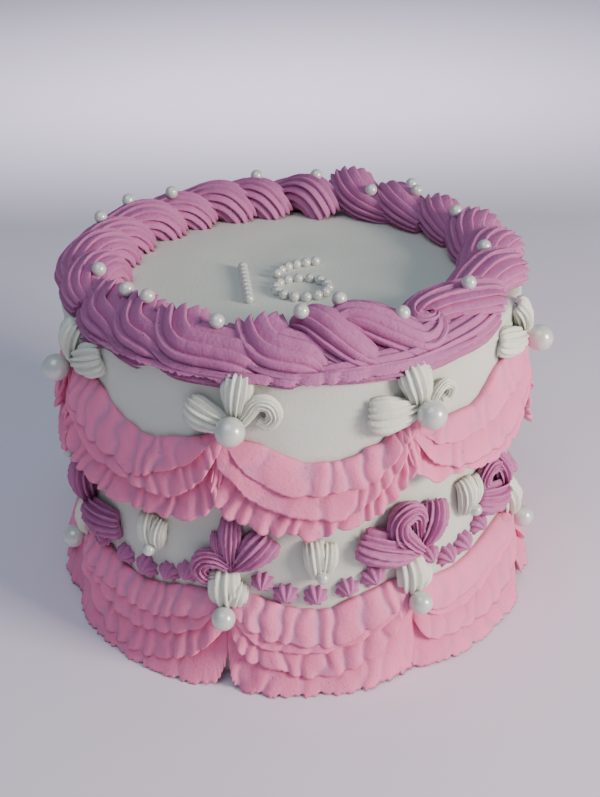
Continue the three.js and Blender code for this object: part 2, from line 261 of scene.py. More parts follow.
# %% [markdown]
# Piping is a squeezed rope that follows the hand, so most pieces here start as a path. A path is a smooth
# curve through a few points, and each point also carries the rope's thickness. The curve is cut into short
# equal steps. A direction that stays square to the path, and turns no more than it must, is carried along it,
# because it tells which way the star of the tip faces.

# %% Paths for the piping bag
CURVE_STEPS = 24


def along(places):
    """Distance of each place from the first one, along the line."""
    return np.concatenate([[0], np.cumsum(np.linalg.norm(np.diff(places, axis=0), axis=1))])


def smooth_path(controls, step):
    """Rows about one step apart on a smooth curve through the controls, each starting with its place."""
    rows = np.array(controls, float)
    rows = np.vstack([2 * rows[0] - rows[1], rows, 2 * rows[-1] - rows[-2]])
    curve = []
    for before, a, b, after in zip(rows, rows[1:], rows[2:], rows[3:]):
        for t in np.linspace(0, 1, CURVE_STEPS, endpoint=False):
            curve.append(0.5 * (2 * a + (b - before) * t + (2 * before - 5 * a + 4 * b - after) * t ** 2
                                + (3 * a - before - 3 * b + after) * t ** 3))
    curve = np.array(curve + [rows[-2]])
    run = along(curve[:, :3])
    stops = np.linspace(0, run[-1], max(4, round(run[-1] / step) + 1))
    return np.column_stack([np.interp(stops, run, column) for column in curve.T])


def unit(vectors):
    """Vectors of length 1."""
    return vectors / np.linalg.norm(vectors, axis=-1, keepdims=True)


def carried(ahead, facing, start):
    """A direction that is near facing at one row and stays square to the path on both sides of it."""
    out = np.zeros_like(ahead)
    for rows in (range(start, len(ahead)), range(start, -1, -1)):
        current = np.array(facing, float)
        for row in rows:
            current = unit(current - np.dot(current, ahead[row]) * ahead[row])
            out[row] = current
    return out


def guide_mesh(name, chains):
    """Chains of points as one mesh of edges, in metres. A chain has a place and other values."""
    places = np.vstack([chain["place"] for chain in chains]) * MM
    edges = []
    first = 0
    for chain in chains:
        count = len(chain["place"])
        edges += [(first + i, first + i + 1) for i in range(count - 1)]
        first += count
    mesh = bpy.data.meshes.new(name)
    mesh.from_pydata(places.tolist(), edges, [])
    for key in chains[0]:
        if key == "place":
            continue
        values = np.concatenate([chain[key] for chain in chains])
        kind, field = ("FLOAT_VECTOR", "vector") if values.ndim == 2 else ("FLOAT", "value")
        mesh.attributes.new(key, kind, "POINT").data.foreach_set(field, values.astype(np.float32).ravel())
    return mesh


print("a test path has", len(smooth_path([(0, 0, 0), (10, 0, 0), (10, 10, 0)], 1)), "rows")

# %% [markdown]
# A node tree turns a guide into a plain mesh. The guide gets the tree as a modifier, the tree's inputs are
# set by their identifiers, and the evaluated result is copied into a mesh of its own. The guide and its
# modifier are then removed, so that what is left is ordinary faces. The mesh's volume shows whether its faces
# point out, and it is turned if they don't.

# %% Run a tree and keep its mesh


def volume(mesh):
    """Signed volume of a closed mesh in cubic metres."""
    mesh.calc_loop_triangles()
    places = np.empty(len(mesh.vertices) * 3)
    mesh.vertices.foreach_get("co", places)
    corners = np.empty(len(mesh.loop_triangles) * 3, int)
    mesh.loop_triangles.foreach_get("vertices", corners)
    a, b, c = places.reshape(-1, 3)[corners].reshape(-1, 3, 3).transpose(1, 0, 2)
    return float(np.einsum("ij,ij->i", a, np.cross(b, c)).sum() / 6)


def keep(name, mesh, slot, *nodes):
    """Make a mesh a piece of the cake: faces out, smooth, on its one body, in place of any CAD nodes."""
    if volume(mesh) < 0:
        mesh.flip_normals()
    mesh.name = name
    mesh.shade_smooth()
    piece = bpy.data.objects.new(name, mesh)
    bpy.context.scene.collection.objects.link(piece)
    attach(piece, "root")
    if nodes:
        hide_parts(*nodes)
    print(name, len(mesh.loop_triangles), "triangles")


def grow(name, chains, tree, inputs, slot, *nodes):
    """Run a tree on chains of points and keep the result as a piece."""
    carrier = bpy.data.objects.new(name + "_guide", guide_mesh(name + "_guide", chains))
    bpy.context.scene.collection.objects.link(carrier)
    modifier = carrier.modifiers.new(name, "NODES")
    modifier.node_group = tree
    for label, value in inputs.items():
        modifier[tree.interface.items_tree[label].identifier] = value
    evaluated = carrier.evaluated_get(bpy.context.evaluated_depsgraph_get())
    mesh = bpy.data.meshes.new_from_object(evaluated)
    bpy.data.objects.remove(carrier)
    keep(name, mesh, slot, *nodes)


# %% [markdown]
# The trees have parts in common. Each starts with its named inputs, and each ends by making instances real
# and setting the material. Two of them sweep a ring along the guide's paths, and the ring's points carry
# values that the sweep passes on. A noise that swings evenly about zero gives the unevenness of handwork.

# %% Shared parts of the trees


def new_tree(name, sockets):
    """A geometry tree with a geometry input and output and other named inputs, and its input sockets."""
    tree = bpy.data.node_groups.new(name, "GeometryNodeTree")
    tree.interface.new_socket(name="Geometry", in_out="OUTPUT", socket_type="NodeSocketGeometry")
    for label, kind in {"Geometry": "Geometry", **sockets, "Material": "Material"}.items():
        tree.interface.new_socket(name=label, in_out="INPUT", socket_type="NodeSocket" + kind)
    return tree, add(tree, "NodeGroupInput").outputs


def sweep(tree, guide, ring, values):
    """Sweep a ring along the guide's paths. The ring's points carry the named values."""
    for name, value in values.items():
        ring = add(tree, STORE, {"Geometry": ring, "Name": name, "Value": value})
    path = add(tree, "GeometryNodeMeshToCurve", [guide])
    return add(tree, "GeometryNodeCurveToMesh", {"Curve": path, "Profile Curve": ring, "Scale": 1.0,
                                                 "Fill Caps": True})


def wobble(tree, width, detail, seed, amount, place=None):
    """A noise in bumps of a width, between minus and plus an amount."""
    where = {} if place is None else {"Vector": place}
    shape = {**where, "W": seed, "Scale": 1 / width, "Detail": detail}
    noise = add(tree, NOISE, shape, noise_dimensions="4D")
    signed = add(tree, MATH, [noise, 2, -1], operation="MULTIPLY_ADD")
    return add(tree, MATH, [signed, amount], operation="MULTIPLY")


def end_tree(tree, shape, material):
    """The end of a tree: real faces with their material."""
    real = add(tree, "GeometryNodeRealizeInstances", [shape])
    done = add(tree, "GeometryNodeSetMaterial", {"Geometry": real, "Material": material})
    add(tree, "NodeGroupOutput", [done])
    print("the tree", tree.name, "has", len(tree.nodes), "nodes")


# %% [markdown]
# The coat is buttercream smoothed with a scraper against a turning cake, then chilled. It is nearly a true
# cylinder, but a hand leaves it slightly wavy, and its top edge is softly rounded. A turned profile gives the
# form, and slow waves move each point by a few tenths of a millimetre. Where the scraper was lifted it left a
# low lip, a little under the border, so the rings lie closer together there. A wave is a list of its share,
# how often it comes round the cake, its turn per millimetre of height and its lag.

# %% The scraped coat
WALL_EDGE = 3
WALL_COLUMNS = 240
WALL_WAVE = 0.35
WAVES = [(1, 2, 0.03, 0), (0.6, 5, -0.06, 1), (0.35, 11, 0.11, 2)]
TOP_WAVE = 0.3
CLOSER_FROM = 138
LIP = 0.6
LIP_WIDTH = 0.9
LIP_HEIGHT = 146.5
LIP_SWAY = 1.2


def stops_to(start, end, steps):
    """Equal steps from one value to another, without the first value."""
    return np.linspace(start, end, steps + 1)[1:]


def coat_profile():
    """Radius and height of the coat from the middle of its base, over its edge, to the middle of its top."""
    base = [(radius, 0) for radius in stops_to(0, WALL_RADIUS, 4)]
    side = [(WALL_RADIUS, z) for z in stops_to(0, CLOSER_FROM, 55)]
    side += [(WALL_RADIUS, z) for z in stops_to(CLOSER_FROM, WALL_HEIGHT - WALL_EDGE, 21)]
    edge = [(WALL_RADIUS - WALL_EDGE * (1 - math.cos(turn)), WALL_HEIGHT - WALL_EDGE * (1 - math.sin(turn)))
            for turn in stops_to(0, math.pi / 2, 7)]
    top = [(radius, WALL_HEIGHT) for radius in stops_to(WALL_RADIUS - WALL_EDGE, 0, 39)[:-1]]
    return base + side + edge + top


def coat_mesh():
    """The coat as rings of points, closed by one point at each pole."""
    rings = coat_profile()
    azimuths = np.arange(WALL_COLUMNS) * 360 / WALL_COLUMNS
    points = [polar(azimuth, radius, z) for radius, z in rings for azimuth in azimuths]
    points += [np.array([0, 0, 0]), np.array([0, 0, WALL_HEIGHT])]
    faces = []
    last = (len(rings) - 1) * WALL_COLUMNS
    for k in range(WALL_COLUMNS):
        following = (k + 1) % WALL_COLUMNS
        for ring in range(0, last, WALL_COLUMNS):
            a, b = ring + k, ring + following
            faces.append((a, b, b + WALL_COLUMNS, a + WALL_COLUMNS))
        faces.append((following, k, len(points) - 2))
        faces.append((last + k, last + following, len(points) - 1))
    points = np.array(points)
    x, y, z = points.T.copy()
    angle = np.arctan2(x, -y)
    waves = [share * np.sin(times * angle + turn * z + lag) for share, times, turn, lag in WAVES]
    from_lip = (z - LIP_HEIGHT - LIP_SWAY * np.sin(4 * angle)) / LIP_WIDTH
    lip = LIP * np.exp(-from_lip ** 2) * np.clip(0.5 + np.sin(angle * 3 - 0.6), 0, 1)
    points[:, :2] *= (1 + (WALL_WAVE * sum(waves) * (z > 0) + lip) / WALL_RADIUS)[:, None]
    top_wave = TOP_WAVE * np.sin(np.hypot(x, y) / 9 + 2 * angle)
    points[:, 2] += top_wave * (z > WALL_HEIGHT - 0.01)
    mesh = bpy.data.meshes.new("scraped_coat")
    mesh.from_pydata((points * MM).tolist(), [], faces)
    mesh.materials.append(ivory)
    return mesh


keep("scraped_coat", coat_mesh(), "ivory_buttercream", "cake_body")

# %% [markdown]
# Every rope, shell and rosette comes out of a star tip, so one tree makes them all. It sweeps a star along
# each path of the guide. Between the star's grooves are bands. In a rope they lap over each other like roof
# tiles, with a crisp free edge towards the inside of the bend, because the cream drags on the tip's teeth. In
# a shell they are plain ridges. Each point of the sweep is placed from what the guide carries: the spot on
# the path, the directions across and out, and the rope's half width and half height. Where the bag starts,
# the band ends stand up as a ragged crown. Slow noise keeps the rope uneven.

# %% Tree for a star tip
LAP_CURVE = 1.35
TUCK = 1.07
CROWN_GRAIN, SLOW_GRAIN, RAGGED_GRAIN = 5 * MM, 8 * MM, 1.4 * MM

star_tip, given = new_tree("star_tip", {
    "Teeth": "Int", "Facets": "Int", "Groove": "Float", "Lap": "Float", "Crown": "Float",
    "Unevenness": "Float", "Ragged": "Float", "Seed": "Float"})


def star_ring(tree, given):
    """A star-shaped ring whose points carry where they lie in the star, and how near a crest."""
    around = add(tree, MATH, [given["Teeth"], given["Facets"]], operation="MULTIPLY")
    ring = add(tree, "GeometryNodeCurvePrimitiveCircle", {"Resolution": around, "Radius": 1 * MM})
    index = add(tree, "GeometryNodeInputIndex")
    band = add(tree, MATH, [index, given["Facets"]], operation="DIVIDE")
    number = add(tree, MATH, [band], operation="FLOOR")
    share = add(tree, MATH, [band], operation="FRACT")
    # Lapped band: full at its free edge, lower towards the next one, which it is tucked under
    less = add(tree, MATH, [given["Facets"], 1], operation="SUBTRACT")
    widen = add(tree, MATH, [given["Facets"], less], operation="DIVIDE")
    whole = add(tree, MATH, [share, widen], operation="MULTIPLY")
    lapped = add(tree, MATH, [whole, LAP_CURVE], operation="POWER")
    tucked = add(tree, MATH, [whole, TUCK], operation="MULTIPLY")
    # Plain ridge: lowest at both sides
    centred = add(tree, MATH, [share, 2, -1], operation="MULTIPLY_ADD")
    plain = add(tree, MATH, [centred], operation="ABSOLUTE")
    low = add(tree, MIX, {0: given["Lap"], 2: plain, 3: lapped})
    along_band = add(tree, MIX, {0: given["Lap"], 2: share, 3: tucked})
    cut = add(tree, MATH, [low, given["Groove"]], operation="MULTIPLY")
    reach = add(tree, MATH, [1, cut], operation="SUBTRACT")
    steps = add(tree, MATH, [number, along_band], operation="ADD")
    turns = add(tree, MATH, [steps, given["Teeth"]], operation="DIVIDE")
    angle = add(tree, MATH, [turns, 2 * math.pi], operation="MULTIPLY")
    values = {"crest": add(tree, MATH, [1, low], operation="SUBTRACT")}
    for name, wave in (("sideways", "SINE"), ("upward", "COSINE")):
        turned = add(tree, MATH, [angle], operation=wave)
        values[name] = add(tree, MATH, [turned, reach], operation="MULTIPLY")
    return ring, values


def fill_star_tip(tree, given):
    """Nodes of the star tip: the sweep, the crown and the noise."""
    rope = sweep(tree, given["Geometry"], *star_ring(tree, given))
    names = ("sideways", "upward", "crest", "wide", "tall", "crown")
    sideways, upward, crest, wide, tall, crown = (
        add(tree, READ, {"Name": name}, data_type="FLOAT") for name in names)
    spot, across, out, ahead = (
        add(tree, READ, {"Name": name}, data_type="FLOAT_VECTOR")
        for name in ("spot", "across", "out", "ahead"))
    to_side = add(tree, MATH, [sideways, wide], operation="MULTIPLY")
    to_top = add(tree, MATH, [upward, tall], operation="MULTIPLY")
    # The crown: band ends drawn back past the start of the rope, each by its own amount
    shape = {"W": given["Seed"], "Scale": 1 / CROWN_GRAIN, "Detail": 1}
    ends = add(tree, NOISE, shape, noise_dimensions="4D")
    length = add(tree, MATH, [ends, 2, -0.1], operation="MULTIPLY_ADD")
    tip = add(tree, MATH, [crest, length], operation="MULTIPLY")
    back = add(tree, MATH, [tip, crown], operation="MULTIPLY")
    drawn = add(tree, MATH, [given["Crown"], -1], operation="MULTIPLY")
    to_back = add(tree, MATH, [back, drawn], operation="MULTIPLY")
    place = spot
    for direction, amount in ((across, to_side), (out, to_top), (ahead, to_back)):
        part = add(tree, VECTOR_MATH, {0: direction, 3: amount}, operation="SCALE")
        place = add(tree, VECTOR_MATH, [place, part], operation="ADD")
    crowned = add(tree, SET_PLACE, {"Geometry": rope, "Position": place})
    # Slow unevenness everywhere, and a ragged edge on the crests
    slow = wobble(tree, SLOW_GRAIN, 2, given["Seed"], given["Unevenness"])
    edge = add(tree, MATH, [crest, 6], operation="POWER")
    torn = add(tree, MATH, [edge, given["Ragged"]], operation="MULTIPLY")
    fine = wobble(tree, RAGGED_GRAIN, 2, given["Seed"], torn)
    swell = add(tree, MATH, [slow, fine], operation="ADD")
    outward = add(tree, "GeometryNodeInputNormal")
    push = add(tree, VECTOR_MATH, {0: outward, 3: swell}, operation="SCALE")
    uneven = add(tree, SET_PLACE, {"Geometry": crowned, "Offset": push})
    end_tree(tree, uneven, given["Material"])


fill_star_tip(star_tip, given)

# %% [markdown]
# One squeeze of the bag is a stroke. The cream opens to its full width within two millimetres, and the middle
# of its start is set back, so that the start is a hollow cup with the band ends round it. The crown's weight
# is full at the cup's rim and fades after a few millimetres.

# %% One squeeze of the bag
OPENING = [(0, 0.05, -0.5), (0.5, 0.55, 0), (1.1, 0.92, 0.75), (1.8, 1, 1), (5, 1, 0.45), (9, 1, 0)]
OPENING_WIDTH = 12


def squeeze(controls, facing, step, facing_share=0.7, crown=1.0):
    """A chain for the star tip. Controls are places with a half width and height. The top faces one way."""
    rows = smooth_path(controls, step)
    place = rows[:, :3]
    ahead = unit(np.gradient(place, axis=0))
    out = carried(ahead, facing, int(facing_share * (len(place) - 1)))
    distances, openness, weight = np.array(OPENING).T
    run = along(place)
    distances = distances * rows[:, 3].max() / OPENING_WIDTH
    opened = np.interp(run, distances, openness)
    return {"place": place, "spot": place * MM, "ahead": ahead, "out": out, "across": np.cross(ahead, out),
            "wide": rows[:, 3] * opened * MM, "tall": rows[:, 4] * opened * MM,
            "crown": crown * np.interp(run, distances, weight)}


print("a stroke opens within", OPENING[3][0], "mm")

# %% [markdown]
# The border is a rope of overlapping S strokes, and the hand held the bag in four ways. At the front left the
# strokes start as fans that stand up, run out to the cake's edge and on under the next fan. Round the back
# left they rise from their feet on the cake and arch over. On the right they start at the outer edge and fall
# inwards. At the front right a barrel, a long S and a hook meet. A form is a list of rows: the degrees from
# the start, the share of the stroke's span, the radius, the height, the half width and the half height. A
# stroke that is made once has rows of its own: the azimuth, the radius, the height, the half width and the
# half height.

# %% The rope border
FAN = [(1, 0, 86.5, 164, 11.5, 6.8), (1.8, 0, 89.5, 161.8, 13, 7.6), (3.6, 0, 94.2, 159, 13.8, 8),
       (6.2, 0, 97.6, 157, 13.6, 8), (9.4, 0, 99, 156, 13.4, 7.8), (0, 0.74, 100.2, 155, 12.4, 7.2),
       (0, 0.9, 102.2, 153, 9, 5.6), (0, 1, 105, 150.8, 4.2, 3.2)]
ARCH = [(-4, 0, 84, 154.5, 9.5, 8.5), (-2.5, 0, 84.5, 158.5, 10.5, 9.6), (0.5, 0, 87.5, 162.5, 11.5, 9.8),
        (4.5, 0, 92.5, 163.3, 12, 9.2), (9, 0, 97, 161, 12, 8.6), (13.5, 0, 99, 159, 11, 8),
        (18, 0, 99, 157, 9, 6.5)]
FALL = [(-1, 0, 101, 162, 10.5, 7), (0, 0, 99.5, 162.8, 12, 8.2), (3, 0, 95, 163, 13, 9),
        (7, 0, 91, 161.5, 12.8, 8.8), (0, 0.72, 88, 159, 11.8, 7.8), (0, 1, 87.5, 157.5, 9.5, 5.8)]
FANS = [(-63, -44, 1), (-48, -30, 1), (-34, -7, 1.04), (-12, 6, 1)]
ARCHES = [(170, 189, 1.06), (188, 204, 1.02), (201, 218, 1.05), (216, 232, 0.95), (231, 249, 1.03),
          (248, 264, 0.97), (262, 280, 1.04), (279, 296, 0.98)]
FALLS = [(146, 126, 1.03), (129, 109, 0.96), (111, 90, 1.04), (94, 73, 1), (76, 55, 1.04)]
TALL = [(160.5, 104, 168, 10.5, 7.5), (160, 101.5, 167.4, 12.5, 9), (158, 96, 165, 13, 10),
        (154.5, 91.5, 162, 13, 9.8), (150, 88.5, 160, 12.2, 9), (144.5, 87.8, 158, 10, 7.4),
        (140, 89, 157, 6, 5)]
BARREL = [(3, 82, 157.5, 6, 5), (3.6, 82.5, 162, 9.5, 8), (6, 86.5, 163, 11, 9),
          (9.5, 92.5, 160.4, 11.4, 8.8), (13.5, 98.5, 156.2, 10.4, 7.2), (16.8, 102.8, 153, 7, 5),
          (19.5, 105.6, 150.8, 2.8, 2.6)]
LONG_S = [(12, 86.5, 158.5, 5, 5), (14, 83.5, 162, 9.5, 8.2), (19, 86, 161.6, 11.6, 9),
          (25, 92.5, 158, 12.6, 8.6), (31, 99, 154.2, 12, 7.2), (36, 97.5, 156, 9, 6),
          (38.5, 93, 159, 5.5, 4.5), (37.5, 89.5, 160.8, 2.4, 2.4)]
HOOK = [(59, 102, 160.5, 11, 7), (56.5, 98, 161.5, 12.4, 8.2), (50, 91.5, 161.5, 12.4, 8.6),
        (43, 87, 161, 11.4, 8.2), (37, 86.5, 159.5, 9.4, 7.4), (34.8, 90.5, 158.5, 7.6, 6.2),
        (37.4, 94.2, 159.5, 5, 4.6), (40, 92, 161, 2.2, 2.6)]
UNDER = [(3, 105, 150, 2.6, 2.4), (6, 104.2, 151.2, 5.6, 4.2), (11, 103.8, 151.6, 7.2, 5),
         (18, 103.6, 151.6, 7.8, 5.2), (25, 103.2, 151.4, 8.6, 5.6), (31, 102.6, 151.8, 8.8, 6),
         (38, 102, 152.8, 9, 6), (46, 101.5, 153.8, 9.6, 6.3), (54, 100, 154.5, 8.6, 5.8),
         (58, 99, 154, 5, 4)]
FRONT_DROOP, ARCH_DROOP = 36, 10
FRONT_STEP, BACK_STEP = 0.8, 1


def tilted(azimuth, degrees):
    """Straight up, but leaning outwards by some degrees, as a rope does that hangs over the edge."""
    lean = math.radians(degrees)
    return polar(azimuth, math.sin(lean), math.cos(lean))


def rope_stroke(form, start, end, scale, droop, step):
    """A stroke of the rope from its form, as a chain for the star tip."""
    way = 1 if end > start else -1
    controls = []
    for degrees, share, radius, z, wide, tall in form:
        azimuth = start + way * degrees + share * (end - start)
        place = polar(azimuth, radius, WALL_HEIGHT + (z - WALL_HEIGHT) * scale)
        controls.append([*place, wide * scale, tall * scale])
    return squeeze(controls, tilted(start + 0.7 * (end - start), droop), step)


def own_stroke(rows, step, crown, droop=0):
    """A stroke of the rope from its own rows."""
    controls = [[*polar(azimuth, radius, z), wide, tall] for azimuth, radius, z, wide, tall in rows]
    return squeeze(controls, tilted(rows[len(rows) // 2][0], droop), step, facing_share=0.5, crown=crown)


front = [rope_stroke(FAN, *row, FRONT_DROOP, FRONT_STEP) for row in FANS]
front += [own_stroke(rows, FRONT_STEP, crown, droop)
          for rows, crown, droop in ((BARREL, 0.1, 15), (UNDER, 0.6, 20), (LONG_S, 0.1, 24), (HOOK, 0.7, 0))]
back = [rope_stroke(ARCH, *row, ARCH_DROOP, BACK_STEP) for row in ARCHES] + [own_stroke(TALL, BACK_STEP, 1)]
back += [rope_stroke(FALL, *row, 0, BACK_STEP) for row in FALLS]
front_look = {"Teeth": 13, "Facets": 8, "Groove": 0.31, "Lap": 1.0, "Crown": 4.5 * MM, "Unevenness": 0.5 * MM,
              "Ragged": 0.3 * MM, "Seed": 3.0, "Material": mauve}
back_look = {**front_look, "Teeth": 14, "Groove": 0.24, "Crown": 3.5 * MM}
grow("rope_border_front", front, star_tip, front_look, "mauve_buttercream", "top_border")
grow("rope_border_back", back, star_tip, back_look, "mauve_buttercream")

# %% [markdown]
# A swag is three or four ruffled ribbons, each lapping the one below. A ribbon comes out of a petal tip whose
# thick end touches the cake, while the hand moves back and forth, so it is thick at the wall, thin at its
# free hem and gathered in folds that run across it. The tree sweeps a flat loop along the hem: the first half
# of the loop is the ribbon's front and the second half its back. Each point lies between the ribbon's upper
# edge and its hem, which the guide carries. One drawn curve gives the cross-section of every fold: it rises
# slowly, then drops over steeply, as a fold does that the moving hand pushes over. The tree stores how deep
# in a crease a point is, and how far it lies under the ribbon above, which the pink paints as shade.

# %% Tree for a ruffled ribbon
FOLD = [(0, 0), (0.1, 0.32), (0.3, 0.82), (0.5, 1), (0.72, 0.85), (0.9, 0.36), (1, 0)]
FOLD_MIDDLE = 0.6
RIBBON_HEM = 1.1
SUNK = 0.8
LOWEST = 0.1
WANDER_GRAIN, BULGE_GRAIN, TORN_GRAIN = 9 * MM, 22 * MM, 1.6 * MM

ruffle, given = new_tree("ruffle", {
    "Rows": "Int", "Lean": "Float", "Wander": "Float", "Droop": "Float", "Scallop": "Float",
    "Unevenness": "Float", "Ragged": "Float", "Seed": "Float"})


def fill_ruffle(tree, given):
    """Nodes of the ruffle: a loop swept along the hem, then each point's place worked out from its share."""
    loop = add(tree, "GeometryNodeCurvePrimitiveCircle", {"Resolution": given["Rows"], "Radius": 1 * MM})
    turn = add(tree, "GeometryNodeSplineParameter")
    signed = add(tree, MATH, [turn, 2, -1], operation="MULTIPLY_ADD")
    away = add(tree, MATH, [signed], operation="ABSOLUTE")
    down = add(tree, MATH, [1, away], operation="SUBTRACT")
    second_half = add(tree, MATH, [turn, 0.501], operation="GREATER_THAN")
    sheet = sweep(tree, given["Geometry"], loop, {"fall": down, "behind": second_half})
    names = ("fall", "behind", "beat", "swell", "strength", "width", "start", "depth", "shade", "torn")
    fall, behind, beat, swell, strength, width, start, depth, shade, torn = (
        add(tree, READ, {"Name": name}, data_type="FLOAT") for name in names)
    hem, head, out = (
        add(tree, READ, {"Name": name}, data_type="FLOAT_VECTOR") for name in ("hem", "head", "out"))
    down_it = add(tree, VECTOR_MATH, [hem, head], operation="SUBTRACT")

    # The folds: where in its fold the point is, and how high the fold is there
    leaning = add(tree, MATH, [fall, given["Lean"], beat], operation="MULTIPLY_ADD")
    fallen = add(tree, VECTOR_MATH, {0: down_it, 3: fall}, operation="SCALE")
    spot = add(tree, VECTOR_MATH, [head, fallen], operation="ADD")
    drift = wobble(tree, WANDER_GRAIN, 0, given["Seed"], given["Wander"], spot)
    wander = add(tree, MATH, [drift, leaning], operation="ADD")
    within = add(tree, MATH, [wander], operation="FRACT")
    height = add(tree, "ShaderNodeFloatCurve", {"Value": within})
    points = height.mapping.curves[0].points
    points[0].location, points[-1].location = FOLD[0], FOLD[-1]
    for bend in FOLD[1:-1]:
        points.new(*bend)
    height.mapping.update()
    wave = add(tree, MATH, [height, FOLD_MIDDLE], operation="SUBTRACT")
    opened = add(tree, MATH, [fall, 0.35, 0.65], operation="MULTIPLY_ADD")
    share = add(tree, MATH, [wave, opened], operation="MULTIPLY")
    pleat = add(tree, MATH, [share, swell], operation="MULTIPLY")

    # How far the front and the back stand off the wall
    rise = add(tree, MATH, [fall, 0.7], operation="POWER")
    front_off = add(tree, MIX, {0: rise, 2: start, 3: depth})
    late = add(tree, MATH, [fall, 1.1], operation="POWER")
    inner = add(tree, MATH, [depth, RIBBON_HEM * MM], operation="SUBTRACT")
    back_off = add(tree, MIX, {0: late, 2: -SUNK * MM, 3: inner})
    off = add(tree, MIX, {0: behind, 2: front_off, 3: back_off})
    slow = wobble(tree, BULGE_GRAIN, 1, given["Seed"], given["Unevenness"], hem)
    bulged = add(tree, MATH, [slow, fall, pleat], operation="MULTIPLY_ADD")
    total = add(tree, MATH, [off, bulged], operation="ADD")

    # How far down the ribbon the point lies: folds droop at the ragged hem and stand up at the edge
    near = add(tree, MATH, [fall, 5], operation="POWER")
    droop = add(tree, MATH, [share, given["Droop"]], operation="MULTIPLY")
    droop_here = add(tree, MATH, [droop, strength], operation="MULTIPLY")
    fine = wobble(tree, TORN_GRAIN, 2, given["Seed"], given["Ragged"], hem)
    fray = add(tree, MATH, [fine, torn, droop_here], operation="MULTIPLY_ADD")
    hanging = add(tree, MATH, [fray, near], operation="MULTIPLY")
    frayed_out = add(tree, MATH, [hanging, 0.6, total], operation="MULTIPLY_ADD")
    clear = add(tree, MATH, [frayed_out, -SUNK * MM], operation="MAXIMUM")
    left = add(tree, MATH, [1, fall], operation="SUBTRACT")
    at_edge = add(tree, MATH, [left, 4], operation="POWER")
    standing = add(tree, MATH, [wave, strength], operation="MULTIPLY")
    scallop = add(tree, MATH, [standing, given["Scallop"]], operation="MULTIPLY")
    lifted = add(tree, MATH, [scallop, at_edge], operation="MULTIPLY")
    shift = add(tree, MATH, [hanging, lifted], operation="SUBTRACT")
    shift_share = add(tree, MATH, [shift, width], operation="DIVIDE")
    down_share = add(tree, MATH, [fall, shift_share], operation="ADD")
    lowered = add(tree, VECTOR_MATH, {0: down_it, 3: down_share}, operation="SCALE")
    at_wall = add(tree, VECTOR_MATH, [head, lowered], operation="ADD")
    outward = add(tree, VECTOR_MATH, {0: out, 3: clear}, operation="SCALE")
    place = add(tree, VECTOR_MATH, [at_wall, outward], operation="ADD")
    # Nothing sinks below the cake's base
    x, y, z = add(tree, "ShaderNodeSeparateXYZ", [place]).outputs
    above = add(tree, MATH, [z, LOWEST * MM], operation="MAXIMUM")
    rested = add(tree, "ShaderNodeCombineXYZ", [x, y, above])
    shape = add(tree, SET_PLACE, {"Geometry": sheet, "Position": rested})

    # What the colour reads for its painted shade: how deep in a crease, and how far under the ribbon above
    low = add(tree, MATH, [1, height], operation="SUBTRACT")
    narrow = add(tree, MATH, [low, 1.3], operation="POWER")
    crease = add(tree, MATH, [narrow, strength], operation="MULTIPLY")
    # Painted shade: a deeper pink the further a point lies under the ribbon above
    hidden_shade = add(tree, MATH, [left, shade], operation="MULTIPLY")
    for name, value in (("crease", crease), ("hidden_shade", hidden_shade)):
        shape = add(tree, STORE, {"Geometry": shape, "Name": name, "Value": value})
    end_tree(tree, shape, given["Material"])


fill_ruffle(ruffle, given)

# %% [markdown]
# Each swag is given as drawn lines: the upper edge of its first ribbon and the hem of every ribbon, as points
# of how far along the swag, from -1 at its left join to 1 at its right one, and how high. A lower ribbon
# starts a little above the hem of the one over it. A ribbon also lists its creases, as shares of its length,
# then how high its folds stand and how far its hem stands off the wall, in mm. The three swags of the front
# have their own lines. The others take the middle one's lines, and a seeded generator draws their creases.
# The last upper one mirrors the first, so that their ends meet at the left join.

# %% The drawn lines of the swags
UPPER_JOINS = [-64, -13.3, 27.5, 74, 118, 162, 206, 250]
LOWER_JOINS = [-67, -16.7, 26.8, 71, 116, 162, 206, 250]
UPPER_LEFT = {
    "edge": [(-0.95, 131), (-0.62, 134), (-0.42, 131), (-0.24, 123.2), (-0.03, 119.2), (0.16, 116.9),
             (0.41, 119.8), (0.57, 121.4), (0.8, 124.5), (0.95, 128)],
    "ribbons": [
        ([(-0.85, 131), (-0.85, 116.7), (-0.68, 110), (-0.47, 105.3), (-0.21, 103.6), (-0.04, 99.8),
          (0.1, 100.3), (0.28, 104.1), (0.45, 107.8), (0.62, 112.8), (0.77, 120.3), (0.9, 127)],
         [0.1, 0.17, 0.24, 0.33, 0.45, 0.55, 0.61, 0.67, 0.76, 0.95], 1.5, 8),
        ([(-0.95, 126), (-0.88, 115.8), (-0.71, 106.8), (-0.46, 99.5), (-0.09, 97.8), (0.1, 95.7),
          (0.38, 94.9), (0.47, 95.9), (0.61, 100.3), (0.74, 106.5), (0.86, 117), (0.92, 124)],
         [0.2, 0.42, 0.5, 0.58, 0.64, 0.7, 0.76, 0.82, 0.87, 0.93], 1.3, 9),
        ([(-1.02, 120), (-1.03, 108), (-1, 95), (-0.92, 86.3), (-0.51, 85.1), (-0.2, 83.3), (0.07, 83.8),
          (0.32, 84), (0.48, 85.1), (0.66, 86.9), (0.8, 92.5), (0.88, 104.8), (0.92, 114)],
         [0.05, 0.12, 0.16, 0.24, 0.29, 0.33, 0.41, 0.46, 0.55, 0.59, 0.67, 0.71, 0.8, 0.84, 0.92], 1.8, 9),
    ],
}
